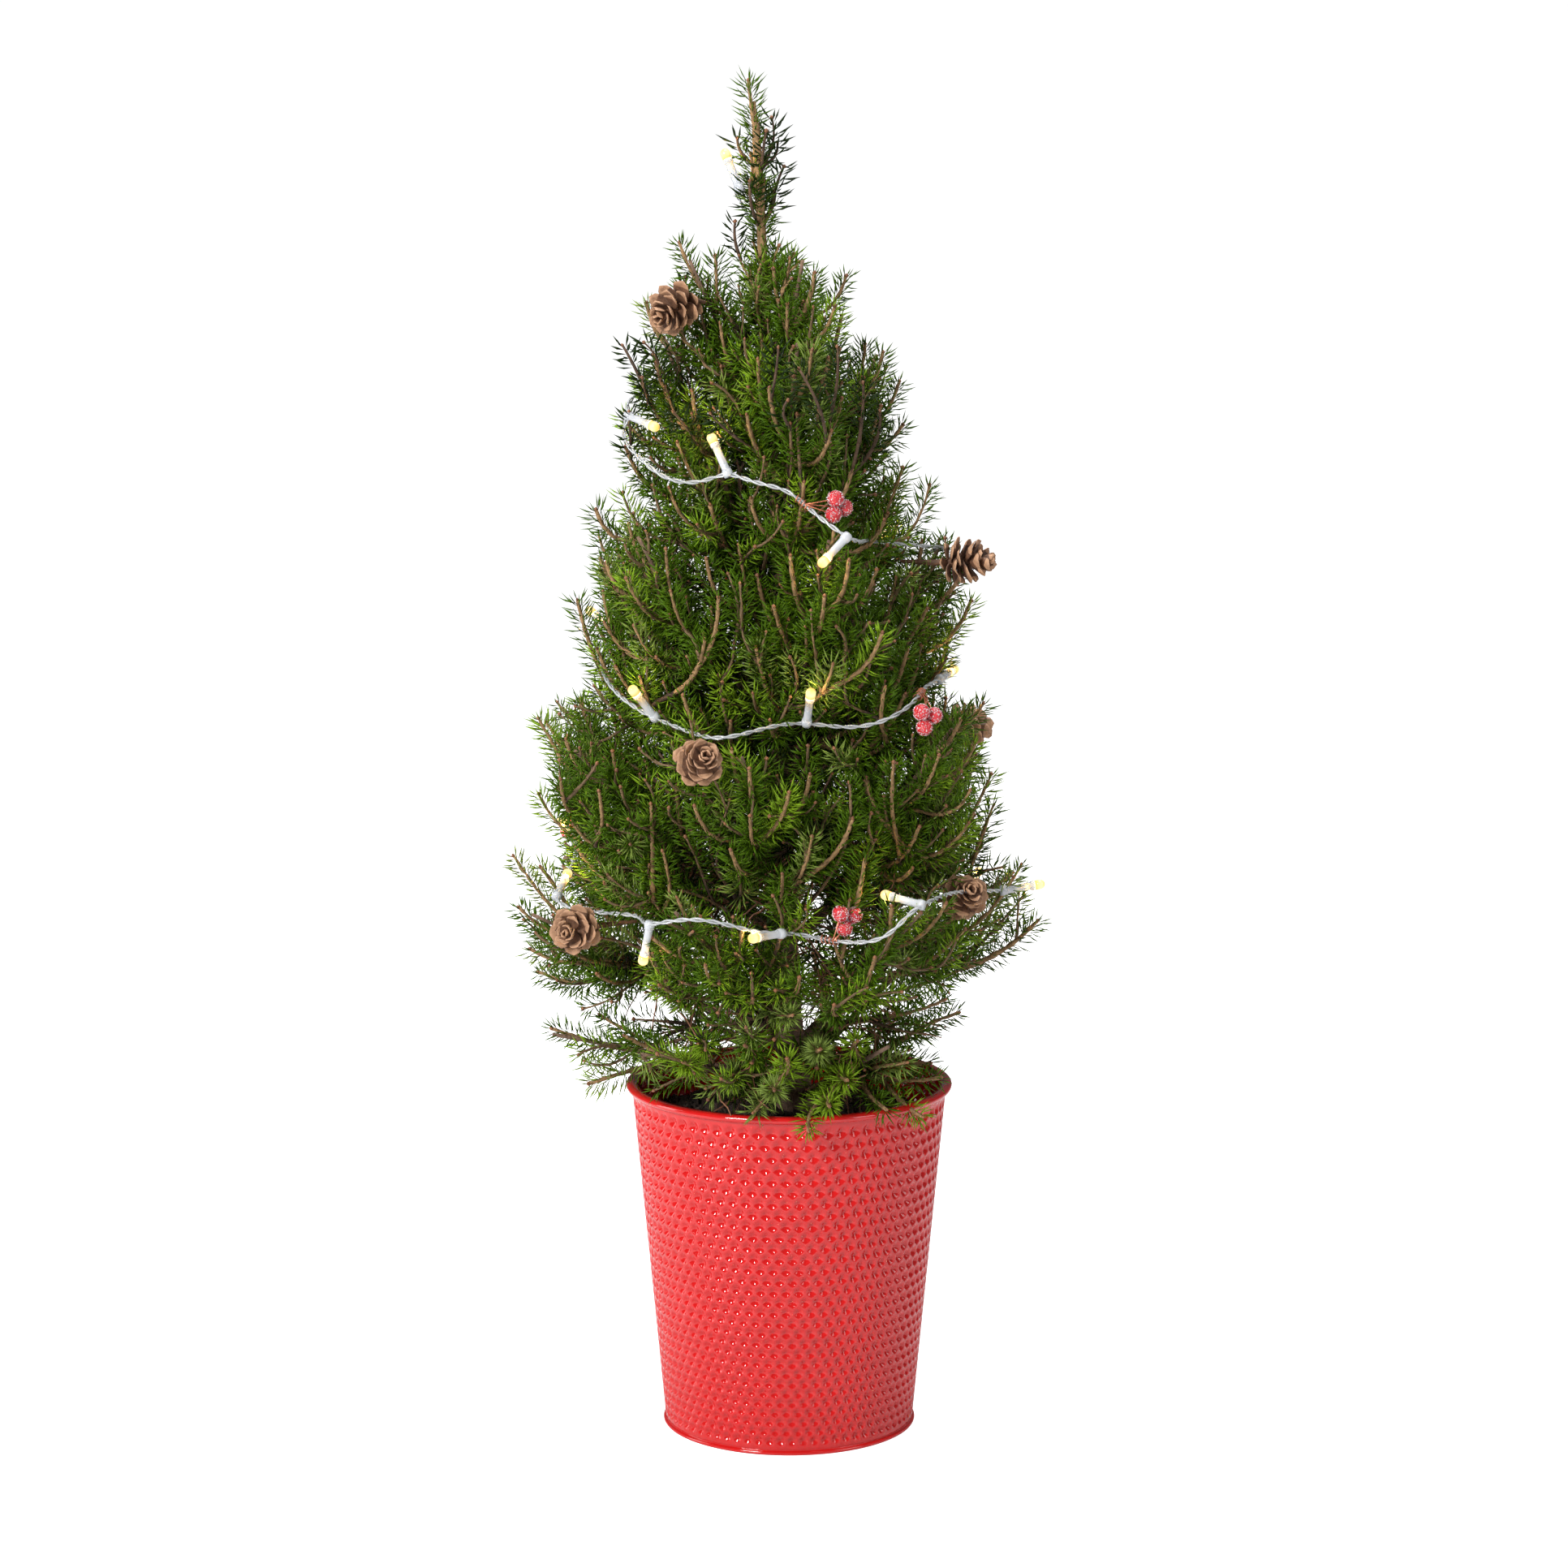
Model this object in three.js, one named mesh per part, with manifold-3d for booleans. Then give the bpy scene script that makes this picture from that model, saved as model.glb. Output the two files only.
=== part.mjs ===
// Potted Christmas tree: a dwarf conical spruce in a tapered metal pot with rolled edges.
// Millimetres, +Z up. The origin is the middle of the pot's flat underside, and the front faces -Y.
import * as THREE from "three";
import { mergeVertices } from "three/addons/utils/BufferGeometryUtils.js";
import Module from "manifold-3d";

const wasm = await Module();
wasm.setup();

// ---- Driving dimensions ----

const GAP = 0.4; // clearance between neighbouring solids
const SEED = 2411; // start of the stream that makes each mass uneven in its own way

const POT_HEIGHT = 219;
const RIM_RADIUS = 102.5; // outside of the rolled rim
const FOOT_RADIUS = 79.5; // outside of the rolled foot
const RIM_BEAD = { height: 4.6, reach: 3.4 };
const FOOT_BEAD = { height: 2.6, reach: 1.5 };
const WALL = 1.6; // sheet and embossing together
const FLOOR = 2.0; // pot's base plate
const POT_SIDES = 32;
const BEAD_STEPS = 3; // flats across a rolled edge

const SOIL_TOP = POT_HEIGHT - 22;

const TRUNK_FLARE = { radius: 13, fade: 6.4 }; // fade is the height over which the flare dies to a third
const TRUNK_RADIUS = 7.8; // just above the flare
const TRUNK_TIP_RADIUS = 1.1;
const TRUNK_TAPER = 0.9; // power of the taper: below 1 it is quickest near the ground
const TRUNK_SIDES = 9;
const TRUNK_STEPS = 10;
const CROWN_TOP = 832;

// The trunk's middle line, from just under its flat cut to the leader, which leans to the left.
const TRUNK_LINE = new THREE.CatmullRomCurve3([
  new THREE.Vector3(4, 6, SOIL_TOP - 4),
  new THREE.Vector3(-2, 5, 330),
  new THREE.Vector3(-6, 2, 520),
  new THREE.Vector3(-14, 0, 690),
  new THREE.Vector3(-21, -1, CROWN_TOP - 9),
]);

// The crown's outline seen from the front: height, reach to the left and reach to the right.
const OUTLINE = [
  [205, 120, 104],
  [232, 137, 108],
  [265, 168, 112],
  [290, 170, 124],
  [322, 172, 168],
  [362, 184, 146],
  [405, 170, 136],
  [455, 165, 130],
  [518, 138, 120],
  [575, 118, 98],
  [630, 95, 80],
  [690, 86, 60],
  [735, 68, 36],
  [775, 42, 4],
  [CROWN_TOP, 26, -17],
];

// Tiers of foliage from the pot to the leader. foot is where a mass starts beside the trunk and tip where it
// ends on the outline; core is its inner end's distance from the trunk; rise lifts its middle; limb is the
// height at which its bough leaves the trunk, and a tier whose limb is null hugs the trunk.
const TIERS = [
  {
    name: "skirt", count: 6, turn: 6, foot: 226, tip: 262,
    core: 44, width: 50, depth: 27, rise: 10, limb: 207,
  },
  {
    name: "low", count: 7, turn: -4, foot: 256, tip: 350,
    core: 36, width: 62, depth: 44, rise: -8, limb: 230,
  },
  {
    name: "waist", count: 6, turn: 32, foot: 326, tip: 460,
    core: 28, width: 64, depth: 48, rise: -14, limb: 306,
  },
  {
    name: "middle", count: 5, turn: 0, foot: 412, tip: 576,
    core: 20, width: 60, depth: 46, rise: -14, limb: 392,
  },
  {
    name: "high", count: 4, turn: 8, foot: 500, tip: 684,
    core: 13, width: 50, depth: 40, rise: -12, limb: null,
  },
  {
    name: "upper", count: 3, turn: 55, foot: 600, tip: 748,
    core: 8, width: 36, depth: 32, rise: -6, limb: null,
  },
];
const THIN_TIER = "skirt"; // its thin masses part from the tier above along planes
const TIP_SPREAD = 26; // how far tips of one tier differ in height
const TURN_SPREAD = 0.24; // how far masses stray round the trunk, as a share of their spacing
const LEADER = { foot: 676, bend: 770, width: 19, depth: 19 };

const MASS_AROUND = 9; // faces round a mass
const MASS_ALONG = 6; // faces from a mass's foot to its tip
const MASS_NARROWING = 0.38; // how much slimmer a mass is at its tip end than at its middle
const KNOBS = { count: 9, least: 0.16, spread: 0.3, sharpness: 7, between: 0.86 }; // swellings on a mass
const LIMB_SIDES = 6;
const LIMB_STEPS = 2;
const LIMB_INTO_MASS = 7; // how far a bough's end sits inside its mass
const LIMB_STAGGER = 16; // the boughs of a tier leave the trunk over this height, in golden-ratio steps
const GOLDEN = 0.618;
const LIMB_RADIUS = { low: 3.8, high: 2.2, tip: 0.6 }; // tip is a share of the radius at the trunk
const LIMB_SAG = 0.35; // height of a bough's middle between its two ends
const BLOCK = 600; // side of a cutting block, wider than the crown

// ---- Finishes ----

const finish = (name, color, roughness, metalness = 0) =>
  new THREE.MeshStandardMaterial({ name, color, roughness, metalness });
const LACQUER = finish("red lacquer", 0xd9302c, 0.25, 0.1);
const PEAT = finish("peat", 0x2b211b, 0.95);
const BARK = finish("bark", 0x6b5240, 0.9);
const NEEDLES = finish("needles", 0x33591f, 0.8);

// ---- Helpers ----

// Mulberry32: a repeatable stream of numbers from 0 to 1.
function randomStream(seed) {
  let state = seed;
  return () => {
    state = (state + 0x6d2b79f5) | 0;
    let t = Math.imul(state ^ (state >>> 15), 1 | state);
    t = (t + Math.imul(t ^ (t >>> 7), 61 | t)) ^ t;
    return ((t ^ (t >>> 14)) >>> 0) / 4294967296;
  };
}

// A closed geometry as a manifold-3d solid.
function toSolid(geometry) {
  const bare = geometry.clone();
  bare.deleteAttribute("normal");
  bare.deleteAttribute("uv");
  const merged = mergeVertices(bare, 1e-3);
  return new wasm.Manifold(
    new wasm.Mesh({
      numProp: 3,
      vertProperties: merged.attributes.position.array,
      triVerts: new Uint32Array(merged.index.array),
    }),
  );
}

// The largest body of a manifold-3d solid as a geometry.
function toGeometry(solid) {
  const largest = solid.decompose().sort((a, b) => b.volume() - a.volume())[0];
  const mesh = largest.getMesh();
  const geometry = new THREE.BufferGeometry();
  geometry.setAttribute("position", new THREE.BufferAttribute(mesh.vertProperties, 3));
  geometry.setIndex(new THREE.BufferAttribute(mesh.triVerts, 1));
  return geometry;
}

function named(name, geometry, material) {
  const mesh = new THREE.Mesh(geometry, material);
  mesh.name = name;
  return mesh;
}

// Reach of the crown at a height: the circle's middle in x, and its radius.
function crownAt(z) {
  const above = Math.max(1, OUTLINE.findIndex((row) => row[0] >= z));
  const [low, high] = [OUTLINE[above - 1], OUTLINE[above]];
  const share = THREE.MathUtils.clamp((z - low[0]) / (high[0] - low[0]), 0, 1);
  const left = THREE.MathUtils.lerp(low[1], high[1], share);
  const right = THREE.MathUtils.lerp(low[2], high[2], share);
  return { middle: (right - left) / 2, radius: (right + left) / 2 };
}

// The point of the trunk's middle line at a height.
const trunkPoints = TRUNK_LINE.getPoints(200);
const trunkAt = (z) => trunkPoints.reduce((best, p) => (Math.abs(p.z - z) < Math.abs(best.z - z) ? p : best));

// Carries a straight body, whose own axis is +Y from 0 to 1, along a curve. Each vertex keeps its offset
// from the axis, turned into the curve's cross-section.
function carryAlong(geometry, curve, sideways) {
  const position = geometry.attributes.position;
  for (let i = 0; i < position.count; i++) {
    const share = THREE.MathUtils.clamp(position.getY(i), 0, 1);
    const along = curve.getTangentAt(share);
    const across = sideways.clone().addScaledVector(along, -sideways.dot(along)).normalize();
    const over = new THREE.Vector3().crossVectors(across, along);
    const at = curve.getPointAt(share);
    at.addScaledVector(across, position.getX(i)).addScaledVector(over, position.getZ(i));
    position.setXYZ(i, at.x, at.y, at.z);
  }
  return geometry;
}

// A limb: a tapering round bar along a curve; radiusAt gives its radius for a share of its length.
function limb(curve, radiusAt, sides, steps, extra = 0) {
  const profile = [new THREE.Vector2(0, 0)];
  for (let i = 0; i <= steps; i++) profile.push(new THREE.Vector2(radiusAt(i / steps) + extra, i / steps));
  profile.push(new THREE.Vector2(0, 1));
  return carryAlong(new THREE.LatheGeometry(profile, sides), curve, new THREE.Vector3(1, 0, 0));
}

// ---- Pot and soil ----

// A half round of a rolled edge, from its lower end to its upper end.
function bead(radius, bottom, height, reach) {
  return Array.from({ length: BEAD_STEPS + 1 }, (_, i) => {
    const angle = -Math.PI / 2 + (Math.PI * i) / BEAD_STEPS;
    const z = bottom + (height / 2) * (1 + Math.sin(angle));
    return new THREE.Vector2(radius + reach * Math.cos(angle), z);
  });
}

const wallFoot = FOOT_RADIUS - FOOT_BEAD.reach;
const wallTop = RIM_RADIUS - RIM_BEAD.reach;
// Outside radius of the pot's wall at a height.
const wallAt = (z) => THREE.MathUtils.mapLinear(z, 0, POT_HEIGHT, wallFoot, wallTop);

function pot() {
  const profile = [
    new THREE.Vector2(0, 0),
    ...bead(wallFoot, 0, FOOT_BEAD.height, FOOT_BEAD.reach),
    ...bead(wallTop, POT_HEIGHT - RIM_BEAD.height, RIM_BEAD.height, RIM_BEAD.reach),
    new THREE.Vector2(wallTop - WALL, POT_HEIGHT),
    new THREE.Vector2(wallAt(FLOOR) - WALL, FLOOR),
    new THREE.Vector2(0, FLOOR),
  ];
  return new THREE.LatheGeometry(profile, POT_SIDES).rotateX(Math.PI / 2);
}

function soil() {
  const inside = (z) => wallAt(z) - WALL - GAP;
  const profile = [
    new THREE.Vector2(0, FLOOR + GAP),
    new THREE.Vector2(inside(FLOOR + GAP), FLOOR + GAP),
    new THREE.Vector2(inside(SOIL_TOP), SOIL_TOP),
    new THREE.Vector2(0, SOIL_TOP),
  ];
  return new THREE.LatheGeometry(profile, POT_SIDES).rotateX(Math.PI / 2);
}

// ---- Trunk ----

// Trunk radius by share of its length: a root flare that dies out, then an even taper to the leader.
function trunkRadius(share) {
  const height = share * (CROWN_TOP - SOIL_TOP);
  const flare = (TRUNK_FLARE.radius - TRUNK_RADIUS) * Math.exp(-height / TRUNK_FLARE.fade);
  return THREE.MathUtils.lerp(TRUNK_RADIUS, TRUNK_TIP_RADIUS, share ** TRUNK_TAPER) + flare;
}

// Share of the trunk's length at a height.
const trunkShare = (z) => (z - SOIL_TOP) / (CROWN_TOP - SOIL_TOP);

// The trunk, cut flat just above the soil; extra makes it stouter, for cutting the masses round it.
function trunk(extra = 0) {
  const ground = new THREE.BoxGeometry(BLOCK, BLOCK, BLOCK).translate(0, 0, SOIL_TOP + GAP - BLOCK / 2);
  return toSolid(limb(TRUNK_LINE, trunkRadius, TRUNK_SIDES, TRUNK_STEPS, extra)).subtract(toSolid(ground));
}

// ---- Foliage ----

// One uneven lump along a curve: a flame, widest before its middle and narrow at its tip, with rounded
// swellings in directions of its own.
function lump(curve, width, depth, knobs) {
  const geometry = new THREE.SphereGeometry(1, MASS_AROUND, MASS_ALONG);
  const position = geometry.attributes.position;
  const vertex = new THREE.Vector3();
  for (let i = 0; i < position.count; i++) {
    vertex.fromBufferAttribute(position, i);
    const along = vertex.y;
    const bump = (knob) => knob.size * Math.max(0, vertex.dot(knob.towards)) ** KNOBS.sharpness;
    const swell = knobs.reduce((sum, knob) => sum + bump(knob), KNOBS.between);
    const fullness = swell * (1 - MASS_NARROWING * along);
    position.setXYZ(i, vertex.x * width * fullness, (along + 1) / 2, vertex.z * depth * fullness);
  }
  return carryAlong(geometry, curve, new THREE.Vector3(0, 0, 1).cross(curve.getTangentAt(0.5)));
}

// The swellings of one mass: a direction and a size for each, more of them towards its tip.
function knobsFrom(random) {
  return Array.from({ length: KNOBS.count }, () => {
    const towards = new THREE.Vector3(random() - 0.5, random() * 1.3 - 0.5, random() - 0.5).normalize();
    return { towards, size: KNOBS.least + KNOBS.spread * random() };
  });
}

// The foliage of one tier: each mass's curve from its foot to its tip on the outline, and its lump.
function tierMasses(tier, random) {
  return Array.from({ length: tier.count }, (_, i) => {
    const place = i + TURN_SPREAD * (random() - 0.5);
    const angle = THREE.MathUtils.degToRad(tier.turn + (360 / tier.count) * place);
    const tip = tier.tip + TIP_SPREAD * (random() - 0.5);
    const crown = crownAt(tip);
    const outward = new THREE.Vector3(Math.cos(angle), Math.sin(angle), 0);
    const foot = trunkAt(tier.foot).clone().addScaledVector(outward, tier.core).setZ(tier.foot);
    const end = new THREE.Vector3(crown.middle, 0, tip).addScaledVector(outward, crown.radius);
    const middle = foot.clone().lerp(end, 0.5).setZ((foot.z + end.z) / 2 + tier.rise);
    const curve = new THREE.QuadraticBezierCurve3(foot, middle, end);
    const limbStart = tier.limb && tier.limb + LIMB_STAGGER * ((i * GOLDEN) % 1);
    const { name: tierName, width, depth } = tier;
    return { name: `foliage_${tierName}_${i + 1}`, tierName, limbStart, curve, width, depth };
  });
}

function leaderMass() {
  const foot = trunkAt(LEADER.foot).clone();
  const end = new THREE.Vector3(crownAt(CROWN_TOP).middle, 0, CROWN_TOP);
  const curve = new THREE.QuadraticBezierCurve3(foot, trunkAt(LEADER.bend), end);
  const { width, depth } = LEADER;
  return { name: "foliage_leader", tierName: "leader", limbStart: null, curve, width, depth };
}

// What a mass loses to its neighbour: a large block laid on the plane halfway between their centres.
function blockBeyond(own, other) {
  const towards = other.clone().sub(own).normalize();
  const block = new THREE.BoxGeometry(BLOCK, BLOCK, BLOCK);
  const turn = new THREE.Quaternion().setFromUnitVectors(new THREE.Vector3(0, 0, 1), towards);
  const centre = own.clone().lerp(other, 0.5).addScaledVector(towards, BLOCK / 2 - GAP / 2);
  return toSolid(block.applyQuaternion(turn).translate(centre.x, centre.y, centre.z));
}

// A bough from the trunk into its mass: it leaves low, halfway inside the trunk's skin, where the trunk
// cuts it off, and sweeps up and out to the mass's foot.
function boughCurve(mass) {
  const start = trunkAt(mass.limbStart).clone();
  const end = mass.curve.getPointAt(LIMB_INTO_MASS / mass.curve.getLength());
  const outward = end.clone().sub(start).setZ(0).normalize();
  start.addScaledVector(outward, trunkRadius(trunkShare(mass.limbStart)) / 2);
  const middle = start.clone().lerp(end, 0.5).setZ(THREE.MathUtils.lerp(start.z, end.z, LIMB_SAG));
  return new THREE.QuadraticBezierCurve3(start, middle, end);
}

function bough(mass, extra = 0) {
  const risen = Math.min(1, 2 * trunkShare(mass.limbStart));
  const radius = THREE.MathUtils.lerp(LIMB_RADIUS.low, LIMB_RADIUS.high, risen);
  const taper = (s) => radius * THREE.MathUtils.lerp(1, LIMB_RADIUS.tip, s);
  return limb(boughCurve(mass), taper, LIMB_SIDES, LIMB_STEPS, extra);
}

// A mass without what its neighbours take. Masses of one tier and thin ones part along planes; elsewhere
// the lower mass is cut round the upper one.
function parted(mass) {
  let solid = mass.solid;
  for (const other of masses) {
    if (other === mass || mass.solid.intersect(other.solid).isEmpty()) continue;
    const planar = mass.tierName === other.tierName || [mass.tierName, other.tierName].includes(THIN_TIER);
    if (planar) solid = solid.subtract(blockBeyond(mass.centre, other.centre));
    else if (other.centre.z > mass.centre.z) solid = solid.subtract(other.cleared);
  }
  return solid;
}

// ---- Assembly ----

const random = randomStream(SEED);
const masses = [...TIERS.flatMap((tier) => tierMasses(tier, random)), leaderMass()];
for (const mass of masses) {
  const knobs = knobsFrom(random);
  const grown = (extra) => toSolid(lump(mass.curve, mass.width + extra, mass.depth + extra, knobs));
  mass.centre = mass.curve.getPointAt(0.55);
  mass.solid = grown(0);
  mass.cleared = grown(2 * GAP);
}

const trunkClear = trunk(GAP);
// Foliage stays above the rim's plane, so that the pot's mouth is open.
const potBlock = new THREE.BoxGeometry(BLOCK, BLOCK, POT_HEIGHT).translate(0, 0, POT_HEIGHT / 2 + GAP);
const potClear = toSolid(potBlock);

const tree = new THREE.Group();
tree.add(named("pot", pot(), LACQUER));
tree.add(named("soil", soil(), PEAT));
tree.add(named("trunk", toGeometry(trunk()), BARK));

for (const mass of masses) {
  let solid = parted(mass).subtract(trunkClear).subtract(potClear);
  if (mass.limbStart) {
    const limbSolid = toSolid(bough(mass)).subtract(trunkClear);
    tree.add(named(mass.name.replace("foliage", "bough"), toGeometry(limbSolid), BARK));
    solid = solid.subtract(toSolid(bough(mass, GAP)));
  }
  tree.add(named(mass.name, toGeometry(solid), NEEDLES));
}

export default tree;
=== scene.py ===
"""Potted Christmas tree: a dwarf conical spruce in an embossed red metal pot, dressed with cones,
frosted berries and a string of warm lamps on a clear twisted cable.

Metres, +Z up, the front faces -Y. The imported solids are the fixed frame: the pot, the trunk, the boughs
and the masses of foliage say where everything grows, and each piece made here is worked out from them.
A turn is an angle round the trunk, from the front towards the right.
"""
import math

import bpy
import numpy as np
from bpy.props import FloatProperty, FloatVectorProperty, IntProperty, PointerProperty
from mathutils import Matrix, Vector
from mathutils.bvhtree import BVHTree


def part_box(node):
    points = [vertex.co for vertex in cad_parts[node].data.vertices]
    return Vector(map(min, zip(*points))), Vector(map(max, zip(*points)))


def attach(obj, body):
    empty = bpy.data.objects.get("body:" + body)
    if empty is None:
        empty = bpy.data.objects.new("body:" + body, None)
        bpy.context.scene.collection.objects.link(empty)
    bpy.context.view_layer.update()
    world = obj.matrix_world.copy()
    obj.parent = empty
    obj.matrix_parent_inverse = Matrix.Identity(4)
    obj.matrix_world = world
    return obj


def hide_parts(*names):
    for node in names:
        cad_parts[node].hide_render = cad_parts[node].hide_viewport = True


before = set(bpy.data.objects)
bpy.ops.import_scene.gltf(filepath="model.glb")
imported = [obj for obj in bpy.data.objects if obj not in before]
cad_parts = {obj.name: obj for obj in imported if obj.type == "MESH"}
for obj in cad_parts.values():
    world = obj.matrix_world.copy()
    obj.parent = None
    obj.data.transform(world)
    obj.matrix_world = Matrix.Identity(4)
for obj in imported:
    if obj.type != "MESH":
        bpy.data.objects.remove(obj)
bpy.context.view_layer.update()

bl_info = {
    "name": "Potted Christmas tree",
    "version": (1, 0, 0),
    "blender": (4, 5, 0),
    "location": "View3D > Sidebar > Tree",
    "description": "Grows a dwarf spruce in an embossed pot and dresses it",
    "category": "Add Mesh",
}

MM = 0.001
FULL_TURN = 2 * math.pi
GOLDEN_TURN = math.pi * (3 - math.sqrt(5))
UP = np.array([0.0, 0.0, 1.0])
LEVEL = np.array([1, 1, 0])  # times a vector, leaves its level part
RAY = 0.3  # rays start this far from the trunk, outside the crown
SHOOT_RINGS = 7
TRUNK_SIDES = 32
LAMP_SIDES = 14
PIECE_LIMIT = 195000  # triangles in one piece of needles, at most
CELL_ACROSS, CELL_UP = 6, 5  # grid steps in one embossed bowl
INNER_ROWS = 4  # rows of bowls that show on the inside of the pot
POT_FLOOR = 2.0 * MM
CRUMB_COUNT = 1500
SOIL_SEED, LAMP_SEED, CONE_SEED, BERRY_SEED = 411, 77, 31, 58
CABLE_STEP = 1.5 * MM
OCTAHEDRON = np.array([[1, 0, 0], [0, 1, 0], [-1, 0, 0], [0, -1, 0], [0, 0, 1], [0, 0, -1]], float)
OCTAHEDRON_FACES = np.array([[0, 1, 4], [1, 2, 4], [2, 3, 4], [3, 0, 4], [1, 0, 5], [2, 1, 5],
                             [3, 2, 5], [0, 3, 5]])
GROWN = {}  # what is worked out once and shared: the tree, the crown's surface, the cable's line

# ---- What the frame says ----


def node_mesh(name):
    """The vertices of a solid of the frame, as (n, 3), and its triangles as indices of them."""
    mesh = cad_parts[name].data
    points = np.empty(len(mesh.vertices) * 3)
    mesh.vertices.foreach_get("co", points)
    corners = np.empty(len(mesh.loops), np.int32)
    mesh.loops.foreach_get("vertex_index", corners)
    return points.reshape(-1, 3), corners.reshape(-1, 3)


def node_vertices(name):
    """The vertices of a solid of the frame, each place once."""
    return np.unique(node_mesh(name)[0].round(6), axis=0)


def node_triangles(name):
    """The corners of every triangle of a solid of the frame, as (n, 3, 3)."""
    points, corners = node_mesh(name)
    return points[corners]


def rings(points, places, count):
    """Splits points into count groups at the widest gaps between their places; gives each one's middle
    and its largest radius, in order of place."""
    order = np.argsort(places)
    cuts = np.sort(np.argsort(np.diff(places[order]))[-(count - 1):]) + 1
    groups = np.split(points[order], cuts)
    middles = np.array([group.mean(0) for group in groups])
    radii = np.array([np.linalg.norm(g - m, axis=1).max() for g, m in zip(groups, middles)])
    return middles, radii


POT_HEIGHT, RIM_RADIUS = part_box("pot")[1].z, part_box("pot")[1].x
pot_points = node_vertices("pot")
FOOT_RADIUS = np.linalg.norm(pot_points[pot_points[:, 2] < 3 * MM][:, :2], axis=1).max()
SOIL_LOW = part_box("soil")[0].z
SOIL_TOP, SOIL_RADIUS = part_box("soil")[1].z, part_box("soil")[1].x
MASSES = sorted(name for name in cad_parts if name.startswith("foliage_"))
BOUGHS = sorted(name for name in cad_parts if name.startswith("bough_"))
TRUNK_RINGS = 11
trunk_points = node_vertices("trunk")
TRUNK_LINE, TRUNK_RADII = rings(trunk_points, trunk_points[:, 2], TRUNK_RINGS)


def trunk_at(z):
    """Points of the trunk's middle line at heights z."""
    z = np.asarray(z, float)
    axes = [np.interp(z, TRUNK_LINE[:, 2], TRUNK_LINE[:, axis]) for axis in (0, 1)]
    return np.stack([*axes, z], -1)


def from_trunk(points):
    """Points less the trunk's middle line at their own heights."""
    return points - trunk_at(points[..., 2])


def outward(turns):
    """Level unit vectors away from the trunk at turns in radians: their sine and minus their cosine."""
    turns = np.asarray(turns, float)
    return np.stack([np.sin(turns), -np.cos(turns), np.zeros_like(turns)], -1)


# ---- Settings ----


def metres(name, description, millimetres):
    """A length, its default given in millimetres."""
    return FloatProperty(name=name, description=description, default=millimetres * MM, unit="LENGTH",
                         precision=5)


def tint(name, description, default):
    """A colour."""
    return FloatVectorProperty(name=name, description=description, default=default, subtype="COLOR")


def watts(name, description, default):
    """The power of a light."""
    return FloatProperty(name=name, description=description, default=default, unit="POWER")


class TreePotSettings(bpy.types.PropertyGroup):
    """The embossed pot and what is in it"""

    cells_round: IntProperty(name="Cells round", description="Embossed bowls in one row", default=71, min=12)
    cell_rows: IntProperty(name="Cell rows", description="Rows of embossed bowls", default=30, min=4)
    cell_depth: metres("Cell depth", "Depth of one bowl", 2.8)
    rim_height: metres("Rim height", "Height of the rolled rim", 4.6)
    rim_reach: metres("Rim reach", "How far the rolled rim stands out", 3.4)
    foot_height: metres("Foot height", "Height of the rolled foot", 2.6)
    foot_reach: metres("Foot reach", "How far the rolled foot stands out", 1.5)
    wall: metres("Wall", "Sheet and embossing together", 3.4)
    lacquer: tint("Lacquer", "Colour of the pot", (0.53, 0.0085, 0.0085))
    peat: tint("Peat", "Colour of the soil", (0.022, 0.014, 0.010))


class TreeGrowthSettings(bpy.types.PropertyGroup):
    """How the tree branches and what its needles are like"""

    seed: IntProperty(name="Seed", description="Start of every random draw of the tree", default=27)
    leader_spacing: metres("Leader spacing", "Distance between tips of long shoots", 26)
    spacing: metres("Side spacing", "Distance between tips of outer side shoots", 14.3)
    inner_spacing: metres("Inner spacing", "Distance between tips of inner shoots", 19)
    leader_length: metres("Leader length", "Mean length of long upright shoots", 72)
    shoot_length: metres("Side length", "Mean length of side shoots", 33)
    shoot_radius: metres("Shoot radius", "Radius of a long shoot's stem", 1.55)
    needle_pitch: metres("Needle pitch", "Length of stem to a needle", 0.53)
    needle_length: metres("Needle length", "Mean length of a needle", 11.8)
    needle_width: metres("Needle width", "Width of a needle at its stoutest", 1.1)
    dead_twigs: IntProperty(name="Dead twigs", description="Bare dead twigs inside the crown", default=1000)
    # Deep green: older needles are darker, and the rest of its darkness is painted shade inside the crown.
    old_shaded_green: tint("Deep green", "Old inner needles", (0.007, 0.017, 0.001))
    green: tint("Green", "Most needles", (0.039, 0.083, 0.001))
    light_green: tint("Light green", "Young needles", (0.120, 0.205, 0.008))
    grey_green: tint("Grey green", "Bloomed needles near the foot", (0.120, 0.170, 0.030))
    old_bark: tint("Old bark", "Trunk and boughs", (0.095, 0.058, 0.038))
    shoot_bark: tint("Shoot bark", "Bark of young shoots", (0.37, 0.225, 0.105))


class TreeDressSettings(bpy.types.PropertyGroup):
    """The cable, its lamps, the cones and the berries"""

    cable_lift: metres("Cable lift", "How far the cable lies outside the foliage", 1.5)
    cable_pitch: metres("Cable pitch", "Length of cable in one twist", 19)
    strand_radius: metres("Strand radius", "Radius of one strand of the cable", 0.68)
    lamp_colour: tint("Lamp colour", "Colour of the light", (1.0, 0.50, 0.07))
    lamp_strength: FloatProperty(name="Lamp strength", description="Brightness of the lamps", default=0.95)
    lamp_reach: FloatProperty(name="Lamp reach", description="Brightness of the lamps as a light",
                              default=55.0)
    cone_length: metres("Cone length", "Mean length of a cone", 27)
    berry_radius: metres("Berry radius", "Radius of a berry", 4.9)
    berry_colour: tint("Berry colour", "Colour under the frost", (0.70, 0.012, 0.025))
    crystals: IntProperty(name="Crystals", description="Sugar crystals on a berry", default=230)
    wire_radius: metres("Wire radius", "Radius of the copper wire", 0.38)


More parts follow.
